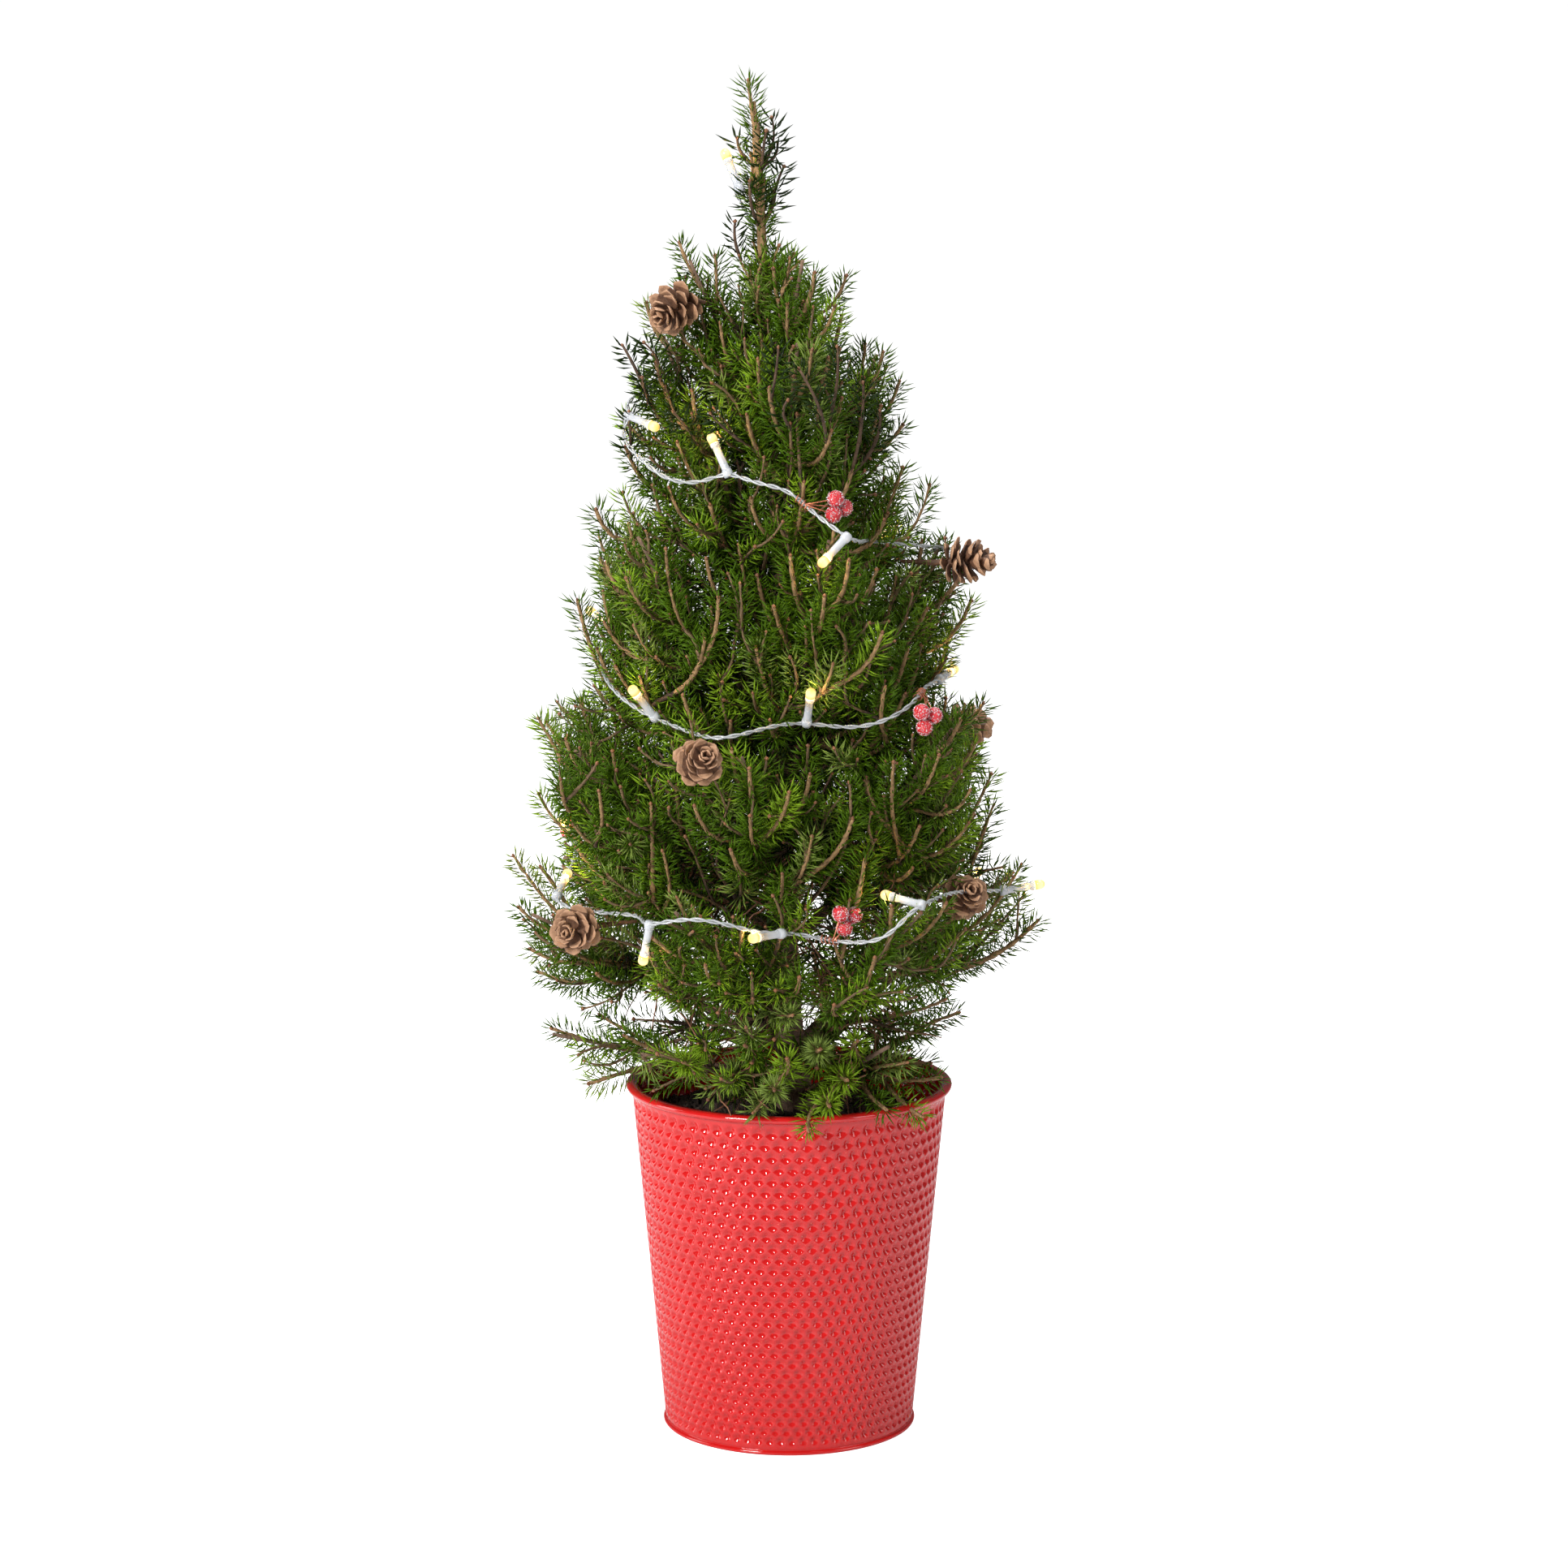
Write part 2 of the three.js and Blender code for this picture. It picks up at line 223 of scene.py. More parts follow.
class TreeStageSettings(bpy.types.PropertyGroup):
    """Floor, lights and camera"""

    world_strength: FloatProperty(name="World light", description="Light from all round", default=0.13)
    floor_glow: FloatProperty(name="Floor light", description="How bright the floor shows by itself",
                              default=1.0)
    key_power: watts("Key power", "Softbox on the left", 88.0)
    fill_power: watts("Fill power", "Softbox on the right", 14.0)
    side_power: watts("Side power", "Strip on the far left", 15.0)
    top_power: watts("Top power", "Softbox overhead", 42.0)
    camera_place: FloatVectorProperty(name="Camera place", description="Where the camera stands",
                                      default=(-0.0032, -2.5564, 0.8248), subtype="TRANSLATION")
    camera_pitch: FloatProperty(name="Camera pitch", description="How far the camera looks down",
                                default=math.radians(9.298), subtype="ANGLE")
    lens: FloatProperty(name="Lens", description="Focal length in millimetres", default=96.16)


# ---- Mesh making ----


def unit(vectors):
    """Vectors divided by their lengths."""
    return vectors / np.maximum(np.linalg.norm(vectors, axis=-1, keepdims=True), 1e-9)


def circle(count):
    """Turns of count points evenly round a circle, in radians."""
    return np.arange(count) / count * FULL_TURN


def new_piece(name, shape, materials, slot=None, replaced=(), smooth=True, material_index=None):
    """A mesh object from a shape: an (n, 3) array of vertices, and arrays of faces with equal sides. With a
    slot it is put under the one body, root; the slot's own name is not kept. The replaced nodes are hidden."""
    vertices, face_sets = shape
    mesh = bpy.data.meshes.new(name)
    mesh.vertices.add(len(vertices))
    mesh.vertices.foreach_set("co", np.ascontiguousarray(vertices, np.float32).ravel())
    sizes = np.concatenate([np.full(len(faces), faces.shape[1]) for faces in face_sets])
    corners = np.concatenate([faces.ravel() for faces in face_sets]).astype(np.int32)
    mesh.loops.add(len(corners))
    mesh.loops.foreach_set("vertex_index", corners)
    mesh.polygons.add(len(sizes))
    mesh.polygons.foreach_set("loop_start", (np.cumsum(sizes) - sizes).astype(np.int32))
    mesh.polygons.foreach_set("use_smooth", np.full(len(sizes), smooth))
    if material_index is not None:
        mesh.polygons.foreach_set("material_index", material_index.astype(np.int32))
    for material in materials:
        mesh.materials.append(material)
    mesh.update(calc_edges=True)
    mesh.validate()
    piece = bpy.data.objects.new(name, mesh)
    bpy.context.scene.collection.objects.link(piece)
    if replaced:
        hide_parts(*replaced)
    if slot:
        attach(piece, "root")
    return piece


def grid_quads(rows, columns):
    """Quads of a grid of rows by columns vertices, its last column joined to its first."""
    row, column = np.meshgrid(np.arange(rows - 1), np.arange(columns), indexing="ij")
    beside = (column + 1) % columns
    quads = [row * columns + column, row * columns + beside, (row + 1) * columns + beside,
             (row + 1) * columns + column]
    return np.stack(quads, -1).reshape(-1, 4)


def closed_faces(rows, columns):
    """Quads of such a grid, and triangles that close its two ends. The two vertices after the grid's are
    the pole of its first row and the pole of its last."""
    side = np.arange(columns)
    beside = (side + 1) % columns
    pole, last = rows * columns, (rows - 1) * columns
    foot = np.stack([np.full(columns, pole), beside, side], -1)
    head = np.stack([np.full(columns, pole + 1), last + side, last + beside], -1)
    return [grid_quads(rows, columns), np.concatenate([foot, head])]


def repeat_faces(faces, count, stride):
    """The same faces for count like bodies whose vertices follow each other, stride to a body."""
    return (faces[None] + np.arange(count)[:, None, None] * stride).reshape(-1, faces.shape[1])


def carried_frames(paths):
    """Direction, across and over at every point of (n, k, 3) paths. Across starts level and is carried
    along each path, losing what lies along it at every point; over is square to both."""
    along = unit(np.gradient(paths, axis=1))
    steep = np.abs(along[:, 0, 2:3]) > 0.95
    current = np.cross(np.where(steep, [[1.0, 0.0, 0.0]], UP[None]), along[:, 0])
    across = np.empty_like(paths)
    for i in range(paths.shape[1]):
        current = current - (current * along[:, i]).sum(-1, keepdims=True) * along[:, i]
        current = unit(current)
        across[:, i] = current
    return along, across, np.cross(along, across)


def tubes(paths, radii, sides, relief=None):
    """Round closed tubes: a point of each ring is the path plus the radius times the cosine of its turn
    across and the sine of its turn over. Relief, in metres, is added to the radius at each point."""
    count, length, _ = paths.shape
    _, across, over = carried_frames(paths)
    turns = circle(sides)
    spokes = np.cos(turns)[:, None] * across[:, :, None] + np.sin(turns)[:, None] * over[:, :, None]
    reach = np.broadcast_to(radii[..., None], spokes.shape[:3])
    if relief is not None:
        reach = reach + relief(paths[:, :, None] + reach[..., None] * spokes)
    shell = paths[:, :, None] + reach[..., None] * spokes
    vertices = np.concatenate([shell.reshape(count, -1, 3), paths[:, [0, -1]]], 1)
    faces = [repeat_faces(each, count, length * sides + 2) for each in closed_faces(length, sides)]
    return vertices.reshape(-1, 3), faces


def joined(shapes):
    """Joins shapes, which are vertices and face sets, into one."""
    vertices, face_sets, start = [], [], 0
    for points, sets in shapes:
        vertices.append(points)
        face_sets += [faces + start for faces in sets]
        start += len(points)
    return np.concatenate(vertices), face_sets


def bezier(start, start_handle, end_handle, end, steps):
    """A cubic curve from start to end, as (steps, 3)."""
    t = np.linspace(0, 1, steps)[:, None]
    return ((1 - t) ** 3 * start + 3 * (1 - t) ** 2 * t * start_handle
            + 3 * (1 - t) * t ** 2 * end_handle + t ** 3 * end)


def smoothed(line, times):
    """A line whose inner points move, times over, to the mean of both neighbours and twice themselves."""
    for _ in range(times):
        line[1:-1] = (line[:-2] + 2 * line[1:-1] + line[2:]) / 4
    return line


def between(rows, place):
    """Points of each of (n, k, 3) rows at places from 0 to 1 along it, straight between neighbours."""
    steps = rows.shape[1] - 1
    low = np.minimum((place * steps).astype(int), steps - 1)
    part = (place * steps - low)[..., None]
    row = np.arange(len(rows))[:, None]
    return rows[row, low] * (1 - part) + rows[row, low + 1] * part


def run_along(curve):
    """Distance along a curve from its start, at each of its points."""
    return np.append(0, np.cumsum(np.linalg.norm(np.diff(curve, axis=0), axis=1)))


def at_runs(curve, run, at):
    """Points of a curve at distances along it."""
    return np.stack([np.interp(at, run, curve[:, axis]) for axis in range(3)], -1)


def waves(points, size, seed, count=9):
    """Smooth noise from about -1 to 1: the sum of count sine waves in seeded directions, their lengths
    near size, divided by the root of count and times 0.7."""
    random = np.random.default_rng(seed)
    directions = unit(random.normal(size=(count, 3))) * (FULL_TURN / size)
    directions *= random.uniform(0.6, 1.7, (count, 1))
    phases = random.uniform(0, FULL_TURN, count)
    return np.sin(points @ directions.T + phases).sum(-1) / math.sqrt(count) * 0.7


# ---- Materials ----


def new_node(tree, kind, values=None, **choices):
    """A shader node with its choices set, then the values of its inputs."""
    node = tree.nodes.new("ShaderNode" + kind)
    for name, choice in choices.items():
        setattr(node, name, choice)
    for label, value in (values or {}).items():
        node.inputs[label].default_value = value
    return node


def link(tree, *ends):
    """Links an output to an input for each (node, output, node, input)."""
    for source, output, target, label in ends:
        tree.links.new(source.outputs[output], target.inputs[label])


def node_group(name, inputs, outputs, build):
    """A shader node group with named sockets, made once. build places its nodes and links them."""
    group = bpy.data.node_groups.get(name)
    if group:
        return group
    group = bpy.data.node_groups.new(name, "ShaderNodeTree")
    for label, kind, value in inputs:
        socket = group.interface.new_socket(name=label, in_out="INPUT", socket_type="NodeSocket" + kind)
        socket.default_value = value
    for label, kind in outputs:
        group.interface.new_socket(name=label, in_out="OUTPUT", socket_type="NodeSocket" + kind)
    build(group, group.nodes.new("NodeGroupInput"), group.nodes.new("NodeGroupOutput"))
    return group


def mottle_group():
    """Two colours mixed by noise on Object coordinates, and the noise itself as a mask."""

    def build(group, given, out):
        place = new_node(group, "TexCoord")
        noise = new_node(group, "TexNoise", {"Detail": 5, "Roughness": 0.6})
        steep = new_node(group, "MapRange", {"From Min": 0.32, "From Max": 0.68})
        mix = new_node(group, "Mix", data_type="RGBA")
        link(group, (place, "Object", noise, "Vector"), (given, "Scale", noise, "Scale"),
             (noise, "Fac", steep, "Value"), (steep, "Result", mix, "Factor"),
             (given, "Colour", mix, "A"), (given, "Second colour", mix, "B"),
             (mix, "Result", out, "Colour"), (steep, "Result", out, "Mask"))

    inputs = [("Colour", "Color", (0.5, 0.5, 0.5, 1)), ("Second colour", "Color", (0.3, 0.3, 0.3, 1)),
              ("Scale", "Float", 50.0)]
    return node_group("Mottle", inputs, [("Colour", "Color"), ("Mask", "Float")], build)


def grain_group():
    """Fine relief as one height: stretched noise plus half the distance to the nearest of many cells."""

    def build(group, given, out):
        place, stretch = new_node(group, "TexCoord"), new_node(group, "Mapping")
        noise, cells = new_node(group, "TexNoise", {"Detail": 6}), new_node(group, "TexVoronoi")
        add = new_node(group, "Math", {1: 0.5}, operation="MULTIPLY_ADD")
        link(group, (place, "Object", stretch, "Vector"), (given, "Stretch", stretch, "Scale"),
             (cells, "Distance", add, 0), (noise, "Fac", add, 2), (add, "Value", out, "Height"))
        for texture in (noise, cells):
            link(group, (stretch, "Vector", texture, "Vector"), (given, "Scale", texture, "Scale"))

    inputs = [("Scale", "Float", 800.0), ("Stretch", "Vector", (1, 1, 1))]
    return node_group("Grain", inputs, [("Height", "Float")], build)


def finish_material(name, colour, second, mottle, roughness, roughness_second=None, grain=0.0,
                    grain_scale=800.0, stretch=(1, 1, 1), **sockets):
    """A Principled finish: two colours mottled, roughness that may follow the mottle, and a grain bump
    whose distance is grain metres. sockets are further plain values of the shader, by name."""
    material = bpy.data.materials.get(name)
    if material:
        return material
    material = bpy.data.materials.new(name)
    material.use_nodes = True
    tree = material.node_tree
    shader = tree.nodes["Principled BSDF"]
    for label, value in {"Roughness": roughness, **sockets}.items():
        shader.inputs[label.replace("_", " ")].default_value = value
    mottled = new_node(tree, "Group", node_tree=mottle_group())
    for label, value in (("Colour", (*colour, 1)), ("Second colour", (*second, 1)), ("Scale", mottle)):
        mottled.inputs[label].default_value = value
    link(tree, (mottled, "Colour", shader, "Base Color"))
    if roughness_second is not None:
        spread = new_node(tree, "MapRange", {"To Min": roughness, "To Max": roughness_second})
        link(tree, (mottled, "Mask", spread, "Value"), (spread, "Result", shader, "Roughness"))
    if grain:
        rough = new_node(tree, "Group", {"Scale": grain_scale, "Stretch": stretch}, node_tree=grain_group())
        bump = new_node(tree, "Bump", {"Distance": grain, "Strength": 1.0})
        link(tree, (rough, "Height", bump, "Height"), (bump, "Normal", shader, "Normal"))
    return material


def lighter(colour, share):
    """A colour times share."""
    return [min(1.0, share * c) for c in colour]


# ---- Pot ----


def wall_radius(settings, z):
    """Outside radius of the pot's wall at height z: it widens evenly from the foot to the rim."""
    foot = FOOT_RADIUS - settings.foot_reach
    top = RIM_RADIUS - settings.rim_reach
    return foot + (top - foot) * z / POT_HEIGHT


def honeycomb(settings, low, high):
    """Height and depth of the embossed wall on a grid. Rows of bowls are parted by zigzag lines, so that
    grid lines run along every ridge: height is the row's lower zigzag plus a share of the way to its
    upper one, and rows grow taller in step with the pot's radius. Depth is a bowl: half of one plus
    the cosine of the hexagon distance from the bowl's middle, which is the eighth-power mean of the
    distances to its three pairs of sides."""
    rows = settings.cell_rows
    row, within = np.divmod(np.arange(rows * CELL_UP + 1), CELL_UP)
    last = row == rows
    share = np.where(last, 1.0, within / CELL_UP)
    row = np.where(last, row - 1, row)[:, None]
    columns = np.arange(settings.cells_round * CELL_ACROSS)[None]
    cell = (columns / CELL_ACROSS + 0.5 * (row % 2)) % 1.0 - 0.5
    zigzag = 1 / 6 - np.abs(2 * cell) / 3  # of a row's pitch, above or below the line between two rows
    bottom, top = row - zigzag, row + 1 + zigzag
    line = bottom + share[:, None] * (top - bottom)
    upright = (line - row - 0.5) * 1.5  # in circumradii of the hexagon
    sides = np.abs(2 * cell), np.abs(upright + cell), np.abs(upright - cell)
    distance = (sides[0] ** 8 + sides[1] ** 8 + sides[2] ** 8) ** (1 / 8)
    depth = 0.5 + 0.5 * np.cos(math.pi * np.clip(distance / 0.98, 0, 1))
    depth[(line < 0) | (line > rows)] = 0
    widening = wall_radius(settings, high) / wall_radius(settings, low)
    climbed = (widening ** (np.clip(line, 0, rows) / rows) - 1) / (widening - 1)
    return low + (high - low) * climbed, depth


def pot_profile_rows(settings, columns):
    """Rows of (radius, height) from the middle of the base, up the outside and down the inside."""

    def level(radius, z):
        return np.full((1, columns), radius), np.full((1, columns), z)

    def bead(bottom, height, reach, steps):
        """A rolled edge: a half round that stands out from the wall by its reach."""
        turn = np.linspace(-math.pi / 2, math.pi / 2, steps)[:, None]
        z = bottom + height / 2 * (1 + np.sin(turn))
        radius = wall_radius(settings, z) + reach * np.cos(turn) ** 0.8
        return radius.repeat(columns, 1), z.repeat(columns, 1)

    foot_top = settings.foot_height
    rim_bottom = POT_HEIGHT - settings.rim_height
    outer_z, outer_depth = honeycomb(settings, foot_top + 3.6 * MM, rim_bottom - 2.6 * MM)
    deep = settings.cell_depth * np.interp(outer_z, [0, POT_HEIGHT], [0.8, 1.0])
    z, depth = (of[-CELL_UP * INNER_ROWS:][::-1] for of in (outer_z, outer_depth))
    inner = wall_radius(settings, z) - settings.wall - settings.cell_depth * 0.55 * depth
    low = z.min() - (rim_bottom - foot_top) / settings.cell_rows
    rows = [
        level(0.6 * wall_radius(settings, 0), 0.0),
        level(0.97 * wall_radius(settings, 0), 0.0),
        bead(0.0, settings.foot_height, settings.foot_reach, 9),
        level(wall_radius(settings, foot_top) - 0.35 * MM, foot_top + 0.35 * MM),
        level(wall_radius(settings, foot_top + 1 * MM), foot_top + 1.0 * MM),
        (wall_radius(settings, outer_z) - deep * outer_depth, outer_z),
        level(wall_radius(settings, rim_bottom), rim_bottom - 0.6 * MM),
        bead(rim_bottom, settings.rim_height, settings.rim_reach, 13),
        level(wall_radius(settings, POT_HEIGHT) - settings.wall, POT_HEIGHT - 0.3 * MM),
        level(wall_radius(settings, rim_bottom) - settings.wall, rim_bottom),
        (inner, z),
        level(wall_radius(settings, low) - settings.wall, low),
        level(wall_radius(settings, POT_FLOOR) - settings.wall, POT_FLOOR),
    ]
    return np.concatenate([r for r, _ in rows]), np.concatenate([z for _, z in rows])


def turned_solid(radius, turn, z, low_pole, high_pole):
    """A closed solid from rows of radii and heights at turns, and the heights of its two poles."""
    shell = np.stack([radius * np.cos(turn), radius * np.sin(turn), z], -1)
    vertices = np.concatenate([shell.reshape(-1, 3), [[0, 0, low_pole], [0, 0, high_pole]]])
    return vertices, closed_faces(*shell.shape[:2])


class TREE_OT_pot(bpy.types.Operator):
    """Makes the pot: one closed sheet with rolled edges and a honeycomb of embossed bowls"""

    bl_idname = "tree.pot"
    bl_label = "Pot"

    def execute(self, context):
        settings = context.scene.tree_pot
        turn = circle(settings.cells_round * CELL_ACROSS)
        radius, z = pot_profile_rows(settings, len(turn))
        lacquer = finish_material(
            "red lacquer", settings.lacquer, lighter(settings.lacquer, 0.93), mottle=45, roughness=0.045,
            roughness_second=0.07, grain=0.00001, grain_scale=260, Specular_IOR_Level=0.58)
        new_piece("pot_shell", turned_solid(radius, turn, z, 0, POT_FLOOR), [lacquer], "lacquer", ["pot"])
        return {"FINISHED"}


def mound(reach):
    """Height of the peat's low mound round the stem, a bell of the distance from it, in millimetres."""
    return 6.0 * np.exp(-((reach / (30 * MM)) ** 2))


class TREE_OT_soil(bpy.types.Operator):
    """Makes the peat and its crumbs"""

    bl_idname = "tree.soil"
    bl_label = "Soil"

    def execute(self, context):
        settings = context.scene.tree_pot
        random = np.random.default_rng(SOIL_SEED)
        around, across = 128, 44
        share = np.linspace(1 / across, 1, across)[:, None]
        turn = circle(around)
        edge = min(SOIL_RADIUS, wall_radius(settings, SOIL_TOP) - settings.wall + 0.3 * MM)
        reach = share * edge
        flat = np.stack([reach * np.cos(turn), reach * np.sin(turn), np.zeros((across, around))], -1)
        lumps = 1.6 * waves(flat, 14 * MM, 5) + 0.9 * waves(flat, 5 * MM, 6) + 0.5 * waves(flat, 2.4 * MM, 7)
        z = SOIL_TOP + MM * (mound(reach) - 3.5 + lumps * np.clip((1 - share) * 12, 0.35, 1))
        foot = FOOT_RADIUS - settings.foot_reach - settings.wall - 0.6 * MM
        radius = np.concatenate([[[foot]], reach[::-1]])
        z = np.concatenate([np.full((1, around), SOIL_LOW), z[::-1]])
        peat = finish_material("peat", settings.peat, lighter(settings.peat, 2.6), mottle=260,
                               roughness=0.95, grain=0.0012, grain_scale=900)
        new_piece("soil_bed", turned_solid(radius, turn, z, SOIL_LOW, z[-1].mean()), [peat], "peat",
                  ["soil"])

        count = CRUMB_COUNT
        reach = (edge - 3.5 * MM) * np.sqrt(random.uniform(0.01, 1, count))
        turn = random.uniform(0, FULL_TURN, count)
        z = SOIL_TOP + MM * (mound(reach) - 3.2) + random.uniform(-0.5, 1.2, count) * MM
        places = np.stack([reach * np.cos(turn), reach * np.sin(turn), z], -1)
        sizes = random.gamma(2.2, 0.9, (count, 1)) * MM + 0.6 * MM
        shapes = unit(random.normal(size=(count, 6, 3)) * 0.25 + OCTAHEDRON[None]) * sizes[..., None]
        shapes = shapes * random.uniform(0.5, 1.3, (count, 1, 3))
        crumb = finish_material("crumbs", (0.05, 0.028, 0.017), (0.012, 0.008, 0.006), mottle=160,
                                roughness=0.95, grain=0.0006, grain_scale=1400)
        new_piece("soil_crumbs", octahedra(places[:, None] + shapes), [crumb], "peat", smooth=False)
        return {"FINISHED"}


def octahedra(corners):
    """The shape of many octahedra from their corners, as (n, 6, 3)."""
    return corners.reshape(-1, 3), [repeat_faces(OCTAHEDRON_FACES, len(corners), len(OCTAHEDRON))]


# ---- Branching ----


def crown_surface():
    """A tree of all the masses' triangles for casting rays, made once."""
    if "surface" not in GROWN:
        corners = np.concatenate([node_triangles(name) for name in MASSES])
        faces = np.arange(len(corners) * 3).reshape(-1, 3)
        GROWN["surface"] = BVHTree.FromPolygons(corners.reshape(-1, 3).tolist(), faces.tolist())
    return GROWN["surface"]


def reach_at(turn, z):
    """How far the crown reaches from the trunk at a turn and height: where a ray cast inwards first hits,
    or zero."""
    out = np.array([math.sin(turn), -math.cos(turn), 0])
    hit = crown_surface().ray_cast(trunk_at(z) + out * RAY, -out, RAY)
    return RAY - hit[3] if hit[0] is not None else 0.0


def scattered(name, density, random):
    """Random points on a mass, evenly by area, with their outward normals."""
    corners = node_triangles(name)
    square = np.cross(corners[:, 1] - corners[:, 0], corners[:, 2] - corners[:, 0])
    area = np.linalg.norm(square, axis=1) / 2
    count = int(area.sum() * density)
    face = random.choice(len(area), count, p=area / area.sum())
    a, b = random.uniform(size=(2, count, 1))
    a, b = np.where(a + b > 1, 1 - a, a), np.where(a + b > 1, 1 - b, b)
    corner = corners[face]
    points = corner[:, 0] + a * (corner[:, 1] - corner[:, 0]) + b * (corner[:, 2] - corner[:, 0])
    return points, unit(square)[face]


def thinned(points, spacing):
    """Indices of points kept so that no two are nearer than the spacing of the later one, in the order
    given."""
    kept, places = [], np.empty((len(points), 3))
    for i, point in enumerate(points):
        near = np.linalg.norm(places[:len(kept)] - point, axis=1) < spacing[i]
        if not near.any():
            places[len(kept)] = point
            kept.append(i)
    return np.array(kept)


def bough_of(mass):
    """The bough that ends in a mass, or None where the mass sits on the trunk."""
    bough = mass.replace("foliage", "bough")
    return bough if bough in BOUGHS else None


def bough_line(name):
    """Middle line and radii of a bough of the frame: its rings, told apart by distance from the trunk."""
    points = node_vertices(name)
    return rings(points, np.linalg.norm(from_trunk(points)[:, :2], axis=1), 3)


def mass_axis(name):
    """The main stem of a mass: from the end of its bough, or from the trunk, by its middle, to its tip.
    The leader's stem is the trunk."""
    if name == "foliage_leader":
        return None
    points, bough = node_vertices(name), bough_of(name)
    start = bough_line(bough)[0][-1] if bough else trunk_at(points[:, 2].min() + 0.012)
    tip = points[np.argmax(np.linalg.norm((points - start) * [1, 1, 0.8], axis=1))]
    middle = 0.5 * points.mean(0) + 0.5 * (start + tip) / 2
    return bezier(start, start + (middle - start) * 0.75, tip + (middle - tip) * 0.75, tip, 15)[:14]


def elevation_at(z):
    """How steeply shoots rise at height z, in radians: drooping over the rim, upright at the top."""
    heights = [0.200, 0.235, 0.270, 0.320, 0.390, 0.500, 0.700, 0.830]
    rises = [-22, 6, 24, 48, 68, 76, 80, 82]
    return np.radians(np.interp(z, heights, rises))


# Tips of the furthest shoots: turn in degrees, height and reach from the trunk.
LEADING_SHOOTS = [
    (-88, 0.216, 0.128), (-80, 0.256, 0.150), (-96, 0.283, 0.158), (-86, 0.362, 0.168),
    (-92, 0.398, 0.152), (-86, 0.448, 0.150), (-90, 0.520, 0.124), (-84, 0.577, 0.110),
    (-92, 0.633, 0.090), (-86, 0.702, 0.072), (-90, 0.738, 0.050), (84, 0.230, 0.086),
    (86, 0.262, 0.105), (94, 0.291, 0.118), (88, 0.320, 0.156), (82, 0.350, 0.142),
    (90, 0.392, 0.130), (86, 0.457, 0.124), (92, 0.519, 0.118), (84, 0.592, 0.095),
    (78, 0.603, 0.080), (88, 0.672, 0.070), (92, 0.718, 0.050), (4, 0.214, 0.120),
    (-12, 0.224, 0.116), (30, 0.222, 0.112), (-20, 0.244, 0.106), (-5, 0.240, 0.124), (10, 0.230, 0.124),
    (17, 0.243, 0.114), (-1, 0.260, 0.126), (8, 0.266, 0.128), (-13, 0.266, 0.120), (21, 0.266, 0.112),
    (1, 0.288, 0.132), (12, 0.293, 0.130), (-9, 0.298, 0.134), (25, 0.296, 0.118), (43, 0.214, 0.114),
    (51, 0.236, 0.116), (37, 0.250, 0.116), (3, 0.312, 0.138), (-16, 0.318, 0.136),
    (-60, 0.835, 0.004),
]


def slimness(z):
    """How much nearer to the trunk than the masses' surface the shoots end at height z: the leader is
    slimmer than its mass."""
    return np.interp(z, [0.70, 0.745, 0.79], [1.0, 0.62, 0.42])


def closing_points(random):
    """Places for shoots in the clefts between masses: where the crown reaches much less far than it does
    near by, points a little inside that wider reach."""
    points, outs = [], []
    for turn, z in zip(random.uniform(-math.pi, math.pi, 2600), random.uniform(0.35, 0.76, 2600)):
        near = [reach_at(turn + side, z + rise) for side in (-0.35, 0.35) for rise in (-0.022, 0.0, 0.022)]
        wide = 0.5 * (np.mean(near) + sorted(near)[-2])
        if reach_at(turn, z) < wide - 0.010:
            outs.append(outward(turn))
            points.append(trunk_at(z) + outs[-1] * (wide - random.uniform(0.004, 0.016)))
    return np.array(points), np.array(outs)


def shoot_places(random):
    """Where shoots may end, before they are thinned: on the masses, in the clefts between them, and
    inside. Gives points, the outward way at each, its mass, and whether it is inside."""
    surface = crown_surface()
    centres = np.array([node_vertices(name).mean(0) for name in MASSES])
    found = []

    def add(points, normals, inner, owners=None):
        if owners is None:
            owners = np.linalg.norm(points[:, None] - centres[None], axis=-1).argmin(1)
        count = len(points)
        found.append((points, normals, np.broadcast_to(owners, count), np.full(count, inner)))

    for owner, name in enumerate(MASSES):
        at, square = scattered(name, 3.2e4, random)
        buried = np.array([surface.ray_cast(p + n * 0.2 * MM, n, 0.022)[0] is not None
                           for p, n in zip(at, square)])
        under = (square[:, 2] < -0.55) & (random.uniform(size=len(at)) < 0.5)
        sink = random.uniform(0.002, 0.006, (len(at), 1))
        outer = ~buried & ~under
        add((at - square * sink)[outer], square[outer], False, owner)
        depth = random.uniform(0.020, 0.034, (len(at), 1))
        deep = random.uniform(size=len(at)) < 0.5
        add((at - square * depth)[deep], square[deep], True, owner)
    add(*closing_points(random), False)
    core_z = random.uniform(0.37, 0.74, 5000)
    core_out = outward(random.uniform(0, FULL_TURN, len(core_z)))
    core_reach = np.interp(core_z, [0.37, 0.74], [0.085, 0.022]) * random.uniform(0.15, 1, len(core_z))
    add(trunk_at(core_z) + core_out * core_reach[:, None], core_out, True)
    return [np.concatenate(kind) for kind in zip(*found)], centres


